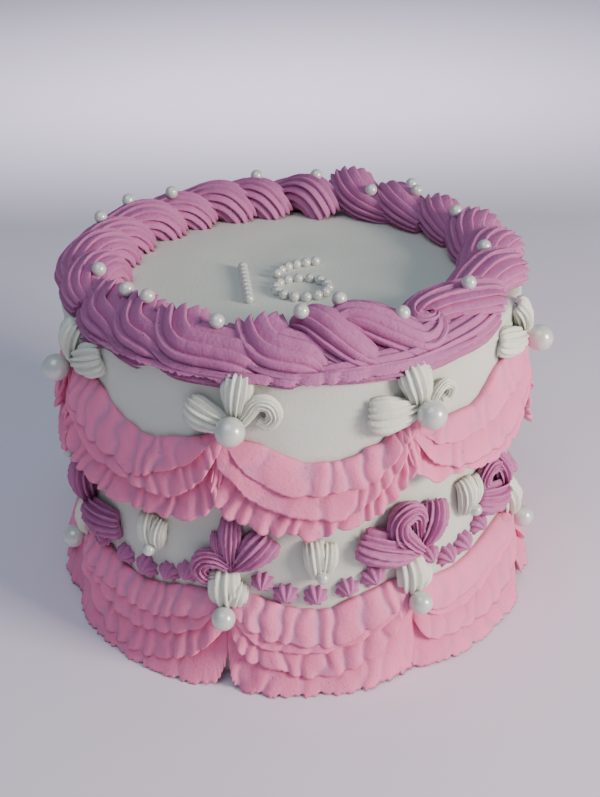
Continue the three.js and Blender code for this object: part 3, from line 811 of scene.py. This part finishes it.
UPPER_MIDDLE = {
    "edge": [(-1.1, 123.5), (-0.74, 121.5), (-0.62, 119.3), (-0.33, 113.9), (0, 112.9), (0.24, 114),
             (0.39, 117.2), (0.55, 118.8), (0.73, 124), (0.95, 130)],
    "ribbons": [
        ([(-1.1, 124), (-1, 116.8), (-0.83, 108.8), (-0.59, 103.8), (-0.41, 101.3), (-0.15, 100.9),
          (0.07, 102), (0.33, 103.2), (0.52, 108), (0.66, 114.6), (0.8, 122), (0.95, 129)],
         [0.2, 0.42, 0.52, 0.58, 0.66, 0.78, 0.86, 0.94], 1.4, 8),
        ([(-1.14, 123), (-1.17, 113.3), (-1, 107), (-0.9, 102), (-0.75, 96.9), (-0.48, 92.9), (-0.2, 90.5),
          (0.03, 89), (0.19, 90.7), (0.39, 97), (0.57, 103.4), (0.71, 111.6), (0.83, 121), (0.95, 127)],
         [0.12, 0.31, 0.5, 0.61, 0.66, 0.73, 0.8, 0.89, 0.94], 1.4, 9),
        ([(-1.19, 116), (-1.22, 107.7), (-1.22, 99.5), (-1.18, 94), (-1.05, 88.6), (-0.9, 87), (-0.63, 82.6),
          (-0.41, 83.8), (-0.3, 81), (-0.12, 80.8), (0, 84), (0.17, 84.6), (0.34, 86.7), (0.57, 92.1),
          (0.77, 101.3), (0.88, 109), (0.97, 119)],
         [0.03, 0.09, 0.12, 0.2, 0.26, 0.29, 0.37, 0.42, 0.45, 0.53, 0.58, 0.67, 0.71, 0.75, 0.83, 0.87,
          0.94], 2.1, 9),
    ],
}
UPPER_RIGHT = {
    "edge": [(-1.05, 125), (-0.86, 120.8), (-0.68, 122.5), (-0.44, 122.3), (-0.23, 122.5), (-0.04, 128),
             (0.12, 133), (0.45, 137), (0.9, 138)],
    "ribbons": [
        ([(-1.13, 124), (-1, 119.7), (-0.87, 115.4), (-0.67, 112.6), (-0.42, 112.6), (-0.17, 114.4),
          (0.08, 118.1), (0.38, 122.3), (0.5, 128), (0.9, 132)],
         [0.12, 0.2, 0.38, 0.46, 0.63, 0.7, 0.84], 1.2, 8),
        ([(-1.18, 121.8), (-1.1, 118.3), (-1, 111.2), (-0.91, 106.7), (-0.78, 103.9), (-0.6, 100.5),
          (-0.29, 99.6), (0.01, 98.8), (0.29, 102.8), (0.45, 110), (0.7, 119), (0.95, 126)],
         [0.08, 0.24, 0.31, 0.5, 0.58, 0.76], 1.2, 9),
        ([(-1.19, 120.9), (-1.19, 114.2), (-1.12, 105.4), (-1.01, 101.2), (-0.9, 97.4), (-0.77, 98.1),
          (-0.54, 97.8), (-0.28, 94.9), (0.1, 93), (0.4, 97), (0.7, 108), (0.95, 120)],
         [0.1, 0.17, 0.3, 0.36, 0.48, 0.6, 0.66, 0.82], 1.5, 9),
    ],
}
LOWER_MIDDLE = {
    "edge": [(-1, 48.5), (-0.8, 47.2), (-0.55, 43.7), (-0.315, 40.3), (-0.07, 39), (0.1, 39.1), (0.28, 42.4),
             (0.54, 45.5), (0.69, 47.4), (0.82, 48.4), (1, 49)],
    "ribbons": [
        ([(-0.99, 41.5), (-0.86, 35.2), (-0.74, 32.3), (-0.58, 27.5), (-0.35, 25.6), (-0.12, 24.3),
          (0.06, 23.5), (0.25, 25.5), (0.49, 30.5), (0.66, 33.9), (0.83, 37.1), (1, 40)],
         [0.1, 0.2, 0.3, 0.36, 0.49, 0.57, 0.7, 0.84, 0.9, 0.96], 1.6, 8.5),
        ([(-0.99, 37), (-0.81, 30), (-0.65, 23.5), (-0.48, 21.7), (-0.25, 21.1), (-0.02, 20.7), (0.21, 22.9),
          (0.41, 25.7), (0.62, 30.6), (0.83, 36), (1, 39.5)],
         [0.12, 0.22, 0.35, 0.46, 0.6, 0.72, 0.85], 0.9, 9),
        ([(-1, 33), (-0.88, 23), (-0.75, 16.4), (-0.58, 13.4), (-0.45, 13.3), (-0.32, 9.6), (-0.09, 8.2),
          (0.14, 9.3), (0.34, 12.8), (0.54, 17.5), (0.72, 25.4), (0.84, 34.1), (1, 39)],
         [0.1, 0.17, 0.24, 0.34, 0.41, 0.5, 0.6, 0.67, 0.78, 0.87], 1.6, 10.5),
        ([(-1.02, 22), (-0.95, 6), (-0.87, 1.2), (-0.6, 0.9), (-0.2, 0.9), (0.2, 0.9), (0.6, 0.9), (0.9, 1),
          (1.02, 1.5), (1.08, 6)],
         [0.09, 0.2, 0.33, 0.44, 0.58, 0.7, 0.8, 0.93], 1.3, 13.5),
    ],
}
LOWER_LEFT = {
    "edge": [(-1, 47.5), (-0.7, 45.5), (-0.45, 44.5), (-0.26, 41.2), (0, 39.3), (0.3, 41.5), (0.55, 44.5),
             (0.83, 46.3), (1, 47.5)],
    "ribbons": [
        ([(-1, 41), (-0.75, 32.7), (-0.51, 30.1), (-0.2, 29.1), (0.09, 28.4), (0.34, 29.2), (0.55, 33),
          (0.72, 34.6), (0.87, 37.8), (1, 41)],
         [0.08, 0.15, 0.22, 0.3, 0.38, 0.46, 0.54, 0.62, 0.68, 0.75, 0.83], 1.4, 8.5),
        ([(-1, 38), (-0.93, 35.5), (-0.71, 30.1), (-0.49, 25.8), (-0.14, 18.1), (0.12, 18.5), (0.36, 21),
          (0.61, 25.2), (0.78, 30.3), (0.88, 36.3), (1, 40)],
         [0.13, 0.2, 0.28, 0.35, 0.48, 0.56, 0.64, 0.7, 0.78], 1.4, 9.5),
        ([(-1, 35), (-0.9, 31), (-0.72, 24), (-0.59, 13.6), (-0.32, 5.8), (0, 3.8), (0.29, 6.1), (0.53, 10.8),
          (0.71, 14.9), (0.88, 23.8), (1, 31)],
         [0.1, 0.2, 0.32, 0.42, 0.5, 0.57, 0.64, 0.72, 0.78, 0.86], 1.9, 11),
        ([(-1.02, 22), (-0.93, 5), (-0.85, 1.2), (-0.6, 0.9), (-0.2, 0.9), (0.2, 0.9), (0.6, 0.9),
          (0.85, 1.2), (0.94, 5), (1.01, 18)],
         [0.12, 0.22, 0.36, 0.5, 0.6, 0.74, 0.9], 1.2, 13.5),
    ],
}
LOWER_RIGHT = {
    "edge": [(-1, 46), (-0.69, 43), (-0.4, 42), (-0.1, 43.5), (0.2, 46), (0.5, 47), (0.8, 46), (1, 47)],
    "ribbons": [
        ([(-1, 36), (-0.84, 30.5), (-0.72, 27.6), (-0.5, 28.4), (-0.23, 30.6), (-0.01, 34.4), (0.19, 38),
          (0.5, 39.5), (0.8, 41), (1, 43)],
         [0.17, 0.3, 0.52, 0.64, 0.86], 0.7, 8.5),
        ([(-1, 33), (-0.76, 26), (-0.41, 24), (-0.13, 26), (0.2, 31), (0.5, 34.5), (0.85, 39), (1, 41)],
         [0.1, 0.28, 0.4, 0.6, 0.7], 0.8, 9),
        ([(-1.02, 27), (-0.92, 17.5), (-0.72, 13.4), (-0.5, 12.5), (-0.25, 11), (0.03, 10.5), (0.3, 13),
          (0.6, 19), (0.85, 28), (1, 36)],
         [0.12, 0.22, 0.35, 0.43, 0.55, 0.66, 0.75, 0.88], 1.3, 10.5),
        ([(-1.1, 9), (-1.02, 1.5), (-0.86, 0.9), (-0.6, 0.9), (-0.2, 0.9), (0.2, 0.9), (0.6, 0.9),
          (0.85, 1.2), (0.94, 5), (1.01, 18)],
         [0.1, 0.24, 0.38, 0.5, 0.62, 0.8], 1.2, 13.5),
    ],
}
print("the middle upper swag has", len(UPPER_MIDDLE["ribbons"]), "ribbons")

# %% [markdown]
# A drawn line is bent round the wall and cut into short steps. Every step of the hem is matched with the step
# of the edge that lies at the same share of its length. Towards its ends a ribbon fades back to the wall,
# where the next swag, a shell or a pearl covers it. Each fold gets a strength of its own, lower where creases
# lie close or far apart. The last ribbon of a lower swag lies on the foot of the cake: it fades more slowly,
# and its hem is torn more.

# %% Swags from ribbons
RIBBON_STEP = 0.75
RIBBON_LAP = 6
END_DEPTH = 3
FADE, LAST_FADE = 12, 30
FULL_FOLD, WIDE_FOLD = 7, 14
FIRST_INWARD = 1.2
SWELL_SHARE = 1.4
TORN, LAST_TORN = 0.9, 4
LAST_BELOW = 2
chance = np.random.default_rng(16)


def bent_line(start, end, line, count=None):
    """A line of share and height, bent round the wall, as places in mm."""
    middle, half = (start + end) / 2, (end - start) / 2
    flat = [[math.radians(middle + half * share) * WALL_RADIUS, z, 0] for share, z in line]
    rows = smooth_path(flat, RIBBON_STEP)
    if count:
        steps = np.linspace(0, len(rows) - 1, count)
        rows = np.column_stack([np.interp(steps, np.arange(len(rows)), column) for column in rows.T])
    return np.array([polar(math.degrees(row[0] / WALL_RADIUS), WALL_RADIUS, row[1]) for row in rows])


def ribbon(start, end, edge, drawn, first, last):
    """A chain for the ruffle tree: the hem, the matching edge and what each point needs."""
    line, creases, swell, depth = drawn
    hem = bent_line(start, end, line)
    head = bent_line(start, end, edge, len(hem))
    length = len(hem) * RIBBON_STEP
    share = np.linspace(0, 1, len(hem))
    full = np.ones(len(hem))
    from_end = np.minimum(share, 1 - share) * length
    close = np.clip(from_end / (LAST_FADE if last else FADE), 0, 1) ** 0.6
    marks = [-0.05, *creases, 1.05]
    folds = np.diff(marks, append=1.2) * length
    strength = chance.uniform(0.55, 1.15, len(marks)) * np.clip(folds / FULL_FOLD, 0.4, 1)
    strength[folds > WIDE_FOLD] *= 0.5
    beat = np.interp(share, marks, np.arange(len(marks)))
    fold = np.interp(beat, np.arange(len(marks)) + 0.5, strength)
    return {"place": hem, "hem": hem * MM, "head": head * MM, "out": unit(hem * (1, 1, 0)), "beat": beat,
            "swell": SWELL_SHARE * swell * fold * close * MM,
            "strength": fold * min(1, swell / SWELL_SHARE) * close,
            "width": np.linalg.norm(hem - head, axis=1) * MM,
            "start": full * (END_DEPTH - FIRST_INWARD * first) * MM,
            "depth": (END_DEPTH + (depth - END_DEPTH) * close) * MM,
            "shade": full * (not first), "torn": full * (LAST_TORN if last else TORN)}


def swag(name, start, end, drawn, seed, node, redraw):
    """One swag: its ribbons in one mesh, in place of its CAD solid."""
    chains = []
    edge = drawn["edge"]
    for order, (line, creases, swell, depth) in enumerate(drawn["ribbons"]):
        if redraw:
            spacing = chance.uniform(0.6, 1.4, len(creases) + 1)
            creases = list(np.cumsum(spacing)[:-1] / spacing.sum())
        last = line[len(line) // 2][1] < LAST_BELOW
        chains.append(ribbon(start, end, edge, (line, creases, swell, depth), order == 0, last))
        edge = [(share, z + RIBBON_LAP) for share, z in line]
    look = {"Rows": 34, "Lean": 0.1, "Wander": 0.5, "Droop": 0.5 * MM, "Scallop": 1.3 * MM,
            "Unevenness": 1.5 * MM, "Ragged": 0.8 * MM, "Seed": float(seed), "Material": pink}
    grow(name, chains, ruffle, look, "pink_buttercream", node)


def mirrored(drawn):
    """The lines of a swag, turned from left to right."""
    ribbons = []
    for line, creases, swell, depth in drawn["ribbons"]:
        turned = [(-share, z) for share, z in reversed(line)]
        ribbons.append((turned, [1 - crease for crease in reversed(creases)], swell, depth))
    return {"edge": [(-share, z) for share, z in reversed(drawn["edge"])], "ribbons": ribbons}


def span(joins, number):
    """The azimuths where a swag starts and ends."""
    following = (number + 1) % AROUND
    return joins[number], joins[following] + 360 * (following == 0)


UPPER_DRAWN = [UPPER_LEFT, UPPER_MIDDLE, UPPER_RIGHT] + 4 * [UPPER_MIDDLE] + [mirrored(UPPER_LEFT)]
LOWER_DRAWN = [LOWER_LEFT, LOWER_MIDDLE, LOWER_RIGHT] + 5 * [LOWER_MIDDLE]
TIERS = [("upper", UPPER_JOINS, UPPER_DRAWN, 0), ("lower", LOWER_JOINS, LOWER_DRAWN, 20)]
for number in range(AROUND):
    for tier, joins, drawn, seed in TIERS:
        swag(f"{tier}_ruffles_{number + 1}", *span(joins, number), drawn[number], seed + number,
             f"{tier}_swag_{number + 1}", redraw=number > 2)

# %% [markdown]
# Where the rope hangs over the edge at the front, the lowest band was smeared down on the coat by the bag's
# tip. It is a thin torn strip, so the ruffle's tree makes it, with a low hem and small uneven folds.

# %% The torn strip under the rope
STRIP_START, STRIP_END = -52, 50
STRIP_FOLDS = [0.06, 0.15, 0.21, 0.33, 0.4, 0.47, 0.52, 0.56, 0.6, 0.67, 0.78, 0.9]
STRIP_EDGE = [(-1, 153), (-0.5, 153), (0, 153.5), (0.5, 154), (1, 154)]
STRIP_HEM = [(-1, 154), (-0.85, 153), (-0.6, 151.8), (-0.35, 150.6), (-0.1, 149.8), (0.1, 149.6),
             (0.3, 150.2), (0.5, 151.2), (0.7, 152.4), (1, 154)]
STRIP_SWELL, STRIP_DEPTH = 1, 4

strip_drawn = (STRIP_HEM, STRIP_FOLDS, STRIP_SWELL, STRIP_DEPTH)
strip = ribbon(STRIP_START, STRIP_END, STRIP_EDGE, strip_drawn, first=True, last=True)
strip_look = {"Rows": 20, "Lean": 0.1, "Wander": 0.3, "Droop": 0.8 * MM, "Scallop": 0.0,
              "Unevenness": 1.4 * MM, "Ragged": 0.5 * MM, "Seed": 4.0, "Material": mauve}
grow("torn_strip", [strip], ruffle, strip_look, "mauve_buttercream")

# %% [markdown]
# Shells are short squeezes of a star tip against the wall. The bag starts at the far end, where the bands
# stand in a fan, and is pulled towards the pearl that hides the pull-off. Most are straight: each is given
# from its pearl by where it stops and starts, across and up, and its half width. Some were turned over into a
# curl, so these are given by their own rows: across, up, off the wall and the cream's radius. A form is a
# list of rows: the share of the way to the start, the distance off the wall, the share of the half width, and
# the half height of a shell whose half width is 7 mm. A pearl at a join is given by its radius, its height
# and how far its middle stands off the wall, and one on a middle shell by where it lies: across, up and off
# the wall.

# %% Shells round the pearls
UPPER_PEARL = (6.2, 131.4, 10.2)
LOWER_PEARL = (5.3, 38.2, 10)
UPPER_FANS = [
    [(1, -2, -18.6, 4.2, 7.5), (0, 0, 2, 19.5, 6.6)],
    [(0, 0.5, -21.5, 0.2, 8.6), (-0.5, -1, -4.5, 18.6, 7.6)],
    [(4, 2, 9, 22, 8), (4, 4, 28, 13, 8)],
    [(-6, 4, -16, 22, 6.6), (-6, 4, -36, 12, 7.2)],
]
UPPER_CURLS = [
    [(2.5, 0.5, 4, 2.4), (6, 5.6, 4.2, 3.1), (9.5, 10.4, 4, 3.5), (14.3, 9.6, 3.8, 3.5), (16, 4.6, 3.6, 3.3),
     (12.8, 0.8, 3.2, 2.9), (9.4, 2.2, 3, 2.2)],
    [(4, 2, 4, 1.9), (7, 6.6, 4, 2.3), (10.6, 8.4, 3.6, 2.5), (13.8, 6, 3.4, 2.5), (13, 2, 3, 2.4),
     (10, 1.2, 2.6, 1.8)],
    [], [],
]
MAUVE_FANS = [
    [(-1, 19, -4.4, 38, 3), (2, 18, 2.6, 45.5, 5.2), (3, 21, 17.5, 38, 8)],
    [(3, 23, -24, 33, 9), (5, 24, 11.5, 44, 7)],
    [(4, 20, 35, 23, 8.4), (8, 24, 6, 44, 8.6)],
    [(-14, 24, -42, 32, 8.6), (-16, 26, -28, 48, 6)],
]
MAUVE_CURLS = [
    [(1.5, 23, 3.4, 3), (-3.5, 26.4, 4, 4.2), (-9, 25.6, 4, 4.8), (-11.6, 20.6, 3.8, 4.6), (-9, 16, 3.6, 4),
     (-4.4, 16.6, 3.2, 3)],
    [(3, 23, 3.6, 3.6), (-3, 29, 4.4, 4.8), (-8, 35.5, 4.8, 5.4), (-8.6, 42, 4.8, 5.2), (-4.2, 45.4, 4.6, 5),
     (0, 43, 4.2, 4.6), (1.4, 37, 3.6, 4), (2.5, 31, 3, 3)],
    [(16, 15.5, 3.8, 3), (20, 19, 4.6, 3.8), (25.6, 18, 4.8, 4), (27, 13.6, 4.6, 3.6), (23, 11.4, 4.2, 3.2),
     (21, 13.8, 3.6, 2)],
    [(-28, 42, 3.4, 2.8), (-33, 46, 4, 3.6), (-38.4, 47.4, 4.2, 3.8), (-42, 44, 4, 3.6),
     (-39.6, 40.4, 3.4, 3), (-36.4, 42, 3, 2)],
]
WHITE_FANS = [(-0.5, 1, -1.5, 18.5, 7.8), (2, 2, 5, 13.5, 5.4)]
LEFT_WHITE_FANS = [(1, 1, 8, 22, 7.2)]
RIGHT_WHITE_FANS = [(-1, 1, -10, 23, 7.8)]
MIDDLE_FANS = [(-1, 0, -2.8, 18, 5.4), (1.8, 2, 3.4, 16.5, 4.6)]
MIDDLE_SHELLS = [(-35.5, 58.5), (4.5, 56), (43.5, 68), (94, 58), (139, 58), (184, 58), (228, 58), (272, 58)]
MIDDLE_PEARL = (0.4, 3.4, 6.8)
SPREAD = [(1.02, 0.8, 0.62, 2.4), (0.97, 1.8, 0.88, 3.6), (0.88, 2.7, 1, 4.4), (0.72, 3.3, 1, 5),
          (0.48, 3.4, 0.8, 4.8), (0.24, 2.6, 0.55, 3.8), (0, 1.2, 0.3, 2)]
PLUMP = [(1, 0.8, 0.76, 3), (0.93, 2.2, 0.9, 4.4), (0.72, 3.6, 1, 5.6), (0.45, 3.6, 0.96, 5.6),
         (0.2, 2.6, 0.74, 4.4), (0, 1.4, 0.4, 2.4)]
FORM_HALF_WIDTH = 7
SHELL_STEP = 0.7
SPREAD_CROWN, PLUMP_CROWN, CURL_CROWN = 0.8, 0.7, 0.1


def fan(azimuth, z, foot_x, foot_y, tip_x, tip_y, half_width, form):
    """A straight shell on the wall as a chain for the star tip, from its fan to its foot."""
    controls = []
    for share, depth, wide, tall in form:
        across, up = foot_x + (tip_x - foot_x) * share, foot_y + (tip_y - foot_y) * share
        place = on_wall(azimuth, z, across, up, depth)
        controls.append([*place, half_width * wide, tall * half_width / FORM_HALF_WIDTH])
    crown = SPREAD_CROWN if form is SPREAD else PLUMP_CROWN
    return squeeze(controls, polar(azimuth, 1, 0), SHELL_STEP, crown=crown)


def curl(azimuth, z, rows):
    """A curled shell on the wall as a chain for the star tip."""
    controls = [[*on_wall(azimuth, z, across, up, depth), radius, radius]
                for across, up, depth, radius in rows]
    return squeeze(controls, polar(azimuth, 1, 0), SHELL_STEP, crown=CURL_CROWN)


white_look = {"Teeth": 12, "Facets": 6, "Groove": 0.42, "Lap": 0.0, "Crown": 1.6 * MM, "Unevenness": 0.6 * MM,
              "Ragged": 0.3 * MM, "Seed": 5.0, "Material": white}
mauve_look = {**white_look, "Groove": 0.5, "Unevenness": 0.8 * MM, "Ragged": 0.9 * MM, "Material": mauve}
for number in range(AROUND):
    pick = {0: 2, 3: 3}.get(number, (number + 1) % 2)
    high = (UPPER_JOINS[number], UPPER_PEARL[1])
    low = (LOWER_JOINS[number], LOWER_PEARL[1])
    shells = [fan(*high, *shell, SPREAD) for shell in UPPER_FANS[pick]]
    shells += [curl(*high, UPPER_CURLS[pick])] if UPPER_CURLS[pick] else []
    grow(f"white_fan_{number + 1}", shells, star_tip, white_look, "white_buttercream",
         f"upper_shells_{number + 1}")
    rows = {0: LEFT_WHITE_FANS, 3: RIGHT_WHITE_FANS}.get(number, WHITE_FANS)
    shells = [fan(*low, *shell, PLUMP) for shell in rows]
    grow(f"white_shell_{number + 1}", shells, star_tip, {**white_look, "Teeth": 10, "Seed": 9.0 + number},
         "white_buttercream", f"lower_shell_{number + 1}")
    shells = [fan(*low, *shell, PLUMP if pick else SPREAD) for shell in MAUVE_FANS[pick]]
    shells.append(curl(*low, MAUVE_CURLS[pick]))
    grow(f"mauve_fan_{number + 1}", shells, star_tip, {**mauve_look, "Seed": 30.0 + number},
         "mauve_buttercream", f"mauve_shells_{number + 1}")

shells = [fan(azimuth, z, *shell, PLUMP) for azimuth, z in MIDDLE_SHELLS for shell in MIDDLE_FANS]
grow("middle_shells", shells, star_tip, {**white_look, "Teeth": 11, "Seed": 50.0}, "white_buttercream")

# %% [markdown]
# The rosettes are drop stars: the tip is held square to the wall, squeezed once and pulled away, so the
# ridges close to a point. They use the same tree, on a path that points straight out of the wall and sags a
# little. Its rows are how far off the wall, how far up, and the share of the star's radius. The front stars
# are placed one by one. At the back they follow the sag of each swag.

# %% Drop stars over the lower swags
FRONT_STARS = [(-46.8, 46.8), (-39.2, 46.8), (-32.2, 49.1), (-26.7, 52.5), (-8.7, 53.5), (-3.4, 47.5),
               (3.4, 46.2), (10.8, 48.5), (17.1, 52.4), (31.6, 54.5), (37.7, 49.6), (43.4, 51.3), (49.6, 56)]
BACK_SHARES = [(-0.45, -0.15, 0.17, 0.48), (-0.48, -0.17, 0.14, 0.47), (-0.5, -0.16, 0.18, 0.46),
               (-0.47, -0.18, 0.15, 0.49), (-0.5, -0.2, 0.12, 0.44)]
STAR_RADIUS, STAR_LOW, STAR_RISE = 6.1, 46.6, 18
STAR_FORM = [(-0.8, 0, 1), (1, 0, 1.05), (2.4, -0.1, 0.92), (3.8, -0.5, 0.62), (4.8, -1.1, 0.3),
             (5.6, -1.7, 0.05)]
STAR_STEP = 0.5


def drop_star(azimuth, z, radius):
    """A drop star as a chain for the star tip."""
    controls = [[*on_wall(azimuth, z, 0, sag, depth), radius * thick, radius * thick]
                for depth, sag, thick in STAR_FORM]
    return squeeze(controls, (0, 0, 1), STAR_STEP, crown=0)


places = list(FRONT_STARS)
for number, row in enumerate(BACK_SHARES, 3):
    start, end = span(LOWER_JOINS, number)
    middle, half = (start + end) / 2, (end - start) / 2
    places += [(middle + half * share, STAR_LOW + STAR_RISE * share ** 2) for share in row]
stars = [drop_star(azimuth, z, STAR_RADIUS * chance.uniform(0.85, 1.05)) for azimuth, z in places]
print(len(stars), "drop stars")
star_look = {**white_look, "Teeth": 8, "Facets": 8, "Groove": 0.32, "Material": mauve, "Seed": 70.0}
grow("drop_stars", stars, star_tip, star_look, "mauve_buttercream")

# %% [markdown]
# Pearls are true balls, so a tree sets one sphere on each guide point and scales it by the point's size. The
# large ones at the joins, those on the rope and on the middle shells, and those of the two numerals share the
# tree.

# %% Tree for pearls
MIDDLE_PEARL_RADIUS = 2.8

pearl_tree, given = new_tree("pearls", {"Segments": "Int", "Rings": "Int"})
ball = add(pearl_tree, "GeometryNodeMeshUVSphere", {"Segments": given["Segments"], "Rings": given["Rings"],
                                                    "Radius": 1})
size = add(pearl_tree, READ, {"Name": "size"}, data_type="FLOAT")
set_down = add(pearl_tree, "GeometryNodeInstanceOnPoints", {"Points": given["Geometry"], "Instance": ball,
                                                            "Scale": size})
end_tree(pearl_tree, set_down, given["Material"])


def pearls(name, places, radius, segments, *nodes):
    """Pearls of one size at places in mm."""
    chain = {"place": np.array(places), "size": np.full(len(places), radius * MM)}
    look = {"Segments": segments, "Rings": segments // 2, "Material": sugar}
    grow(name, [chain], pearl_tree, look, "sugar_pearl", *nodes)


JOIN_PEARLS = [("upper", UPPER_JOINS, UPPER_PEARL), ("lower", LOWER_JOINS, LOWER_PEARL)]
for tier, joins, (radius, z, depth) in JOIN_PEARLS:
    places = [polar(azimuth, WALL_RADIUS + depth, z) for azimuth in joins]
    pearls(f"{tier}_pearls", places, radius, 40, *[f"{tier}_pearl_{n}" for n in range(1, AROUND + 1)])
middle = [on_wall(azimuth, z, *MIDDLE_PEARL) for azimuth, z in MIDDLE_SHELLS]
pearls("middle_pearls", middle, MIDDLE_PEARL_RADIUS, 24)

# %% [markdown]
# The pearls on the rope lie where they were dropped. Their height is found by looking straight down on the
# finished rope, and they sink into it a little. The numerals lie on the flat top: a straight row for the 1,
# and a curved row and a ring for the 6.

# %% Pearls on the rope and in the numerals
ROPE_PEARLS = [
    (-69.5, 91), (-50.5, 91), (-42.8, 89.5), (-19.7, 93), (1.5, 88.5), (13.5, 78), (28.5, 91.5), (50.3, 95.5),
    (77.7, 89), (111.7, 88), (135.5, 95), (140, 101), (149.6, 85.5), (170.6, 94), (190, 96), (222, 90),
    (235.3, 99), (250.5, 98),
]
ROPE_PEARL_RADIUS = 3.25
ROPE_PEARL_LIFT = 1.8
ropes = [bpy.data.objects["rope_border_front"], bpy.data.objects["rope_border_back"]]


def rope_height(place):
    """Height in mm of the rope's top under a point, looking straight down."""
    above = (place[0] * MM, place[1] * MM, 2 * WALL_HEIGHT * MM)
    hits = [piece.ray_cast(above, (0, 0, -1)) for piece in ropes]
    return max([hit[1].z / MM for hit in hits if hit[0]], default=WALL_HEIGHT)


on_rope = []
for azimuth, radius in ROPE_PEARLS:
    spot = polar(azimuth, radius, 0)
    on_rope.append(spot + (0, 0, rope_height(spot) + ROPE_PEARL_LIFT))
pearls("rope_pearls", on_rope, ROPE_PEARL_RADIUS, 28)

NUMERAL_RADIUS = 2.4
PRESSED = 0.7
BOWL_PEARLS, BOWL_START = 14, 20
one = [(-23 + 3.4 * share, 3 - 39.5 * share) for share in np.linspace(0, 1, 9)]
tail = [(11.6, 8.4), (7, 6.9), (2.4, 4.8), (-1.7, 1.6), (-4.9, -2.5), (-6.9, -7.2)]
bowl = [(4.4 + 12 * math.cos(angle), -24.6 + 11.4 * math.sin(angle))
        for angle in np.arange(BOWL_PEARLS) / BOWL_PEARLS * 2 * math.pi + math.radians(BOWL_START)]
numerals = [np.array([x, y, WALL_HEIGHT + PRESSED * NUMERAL_RADIUS]) for x, y in one + tail + bowl]
pearls("numeral_pearls", numerals, NUMERAL_RADIUS, 20)
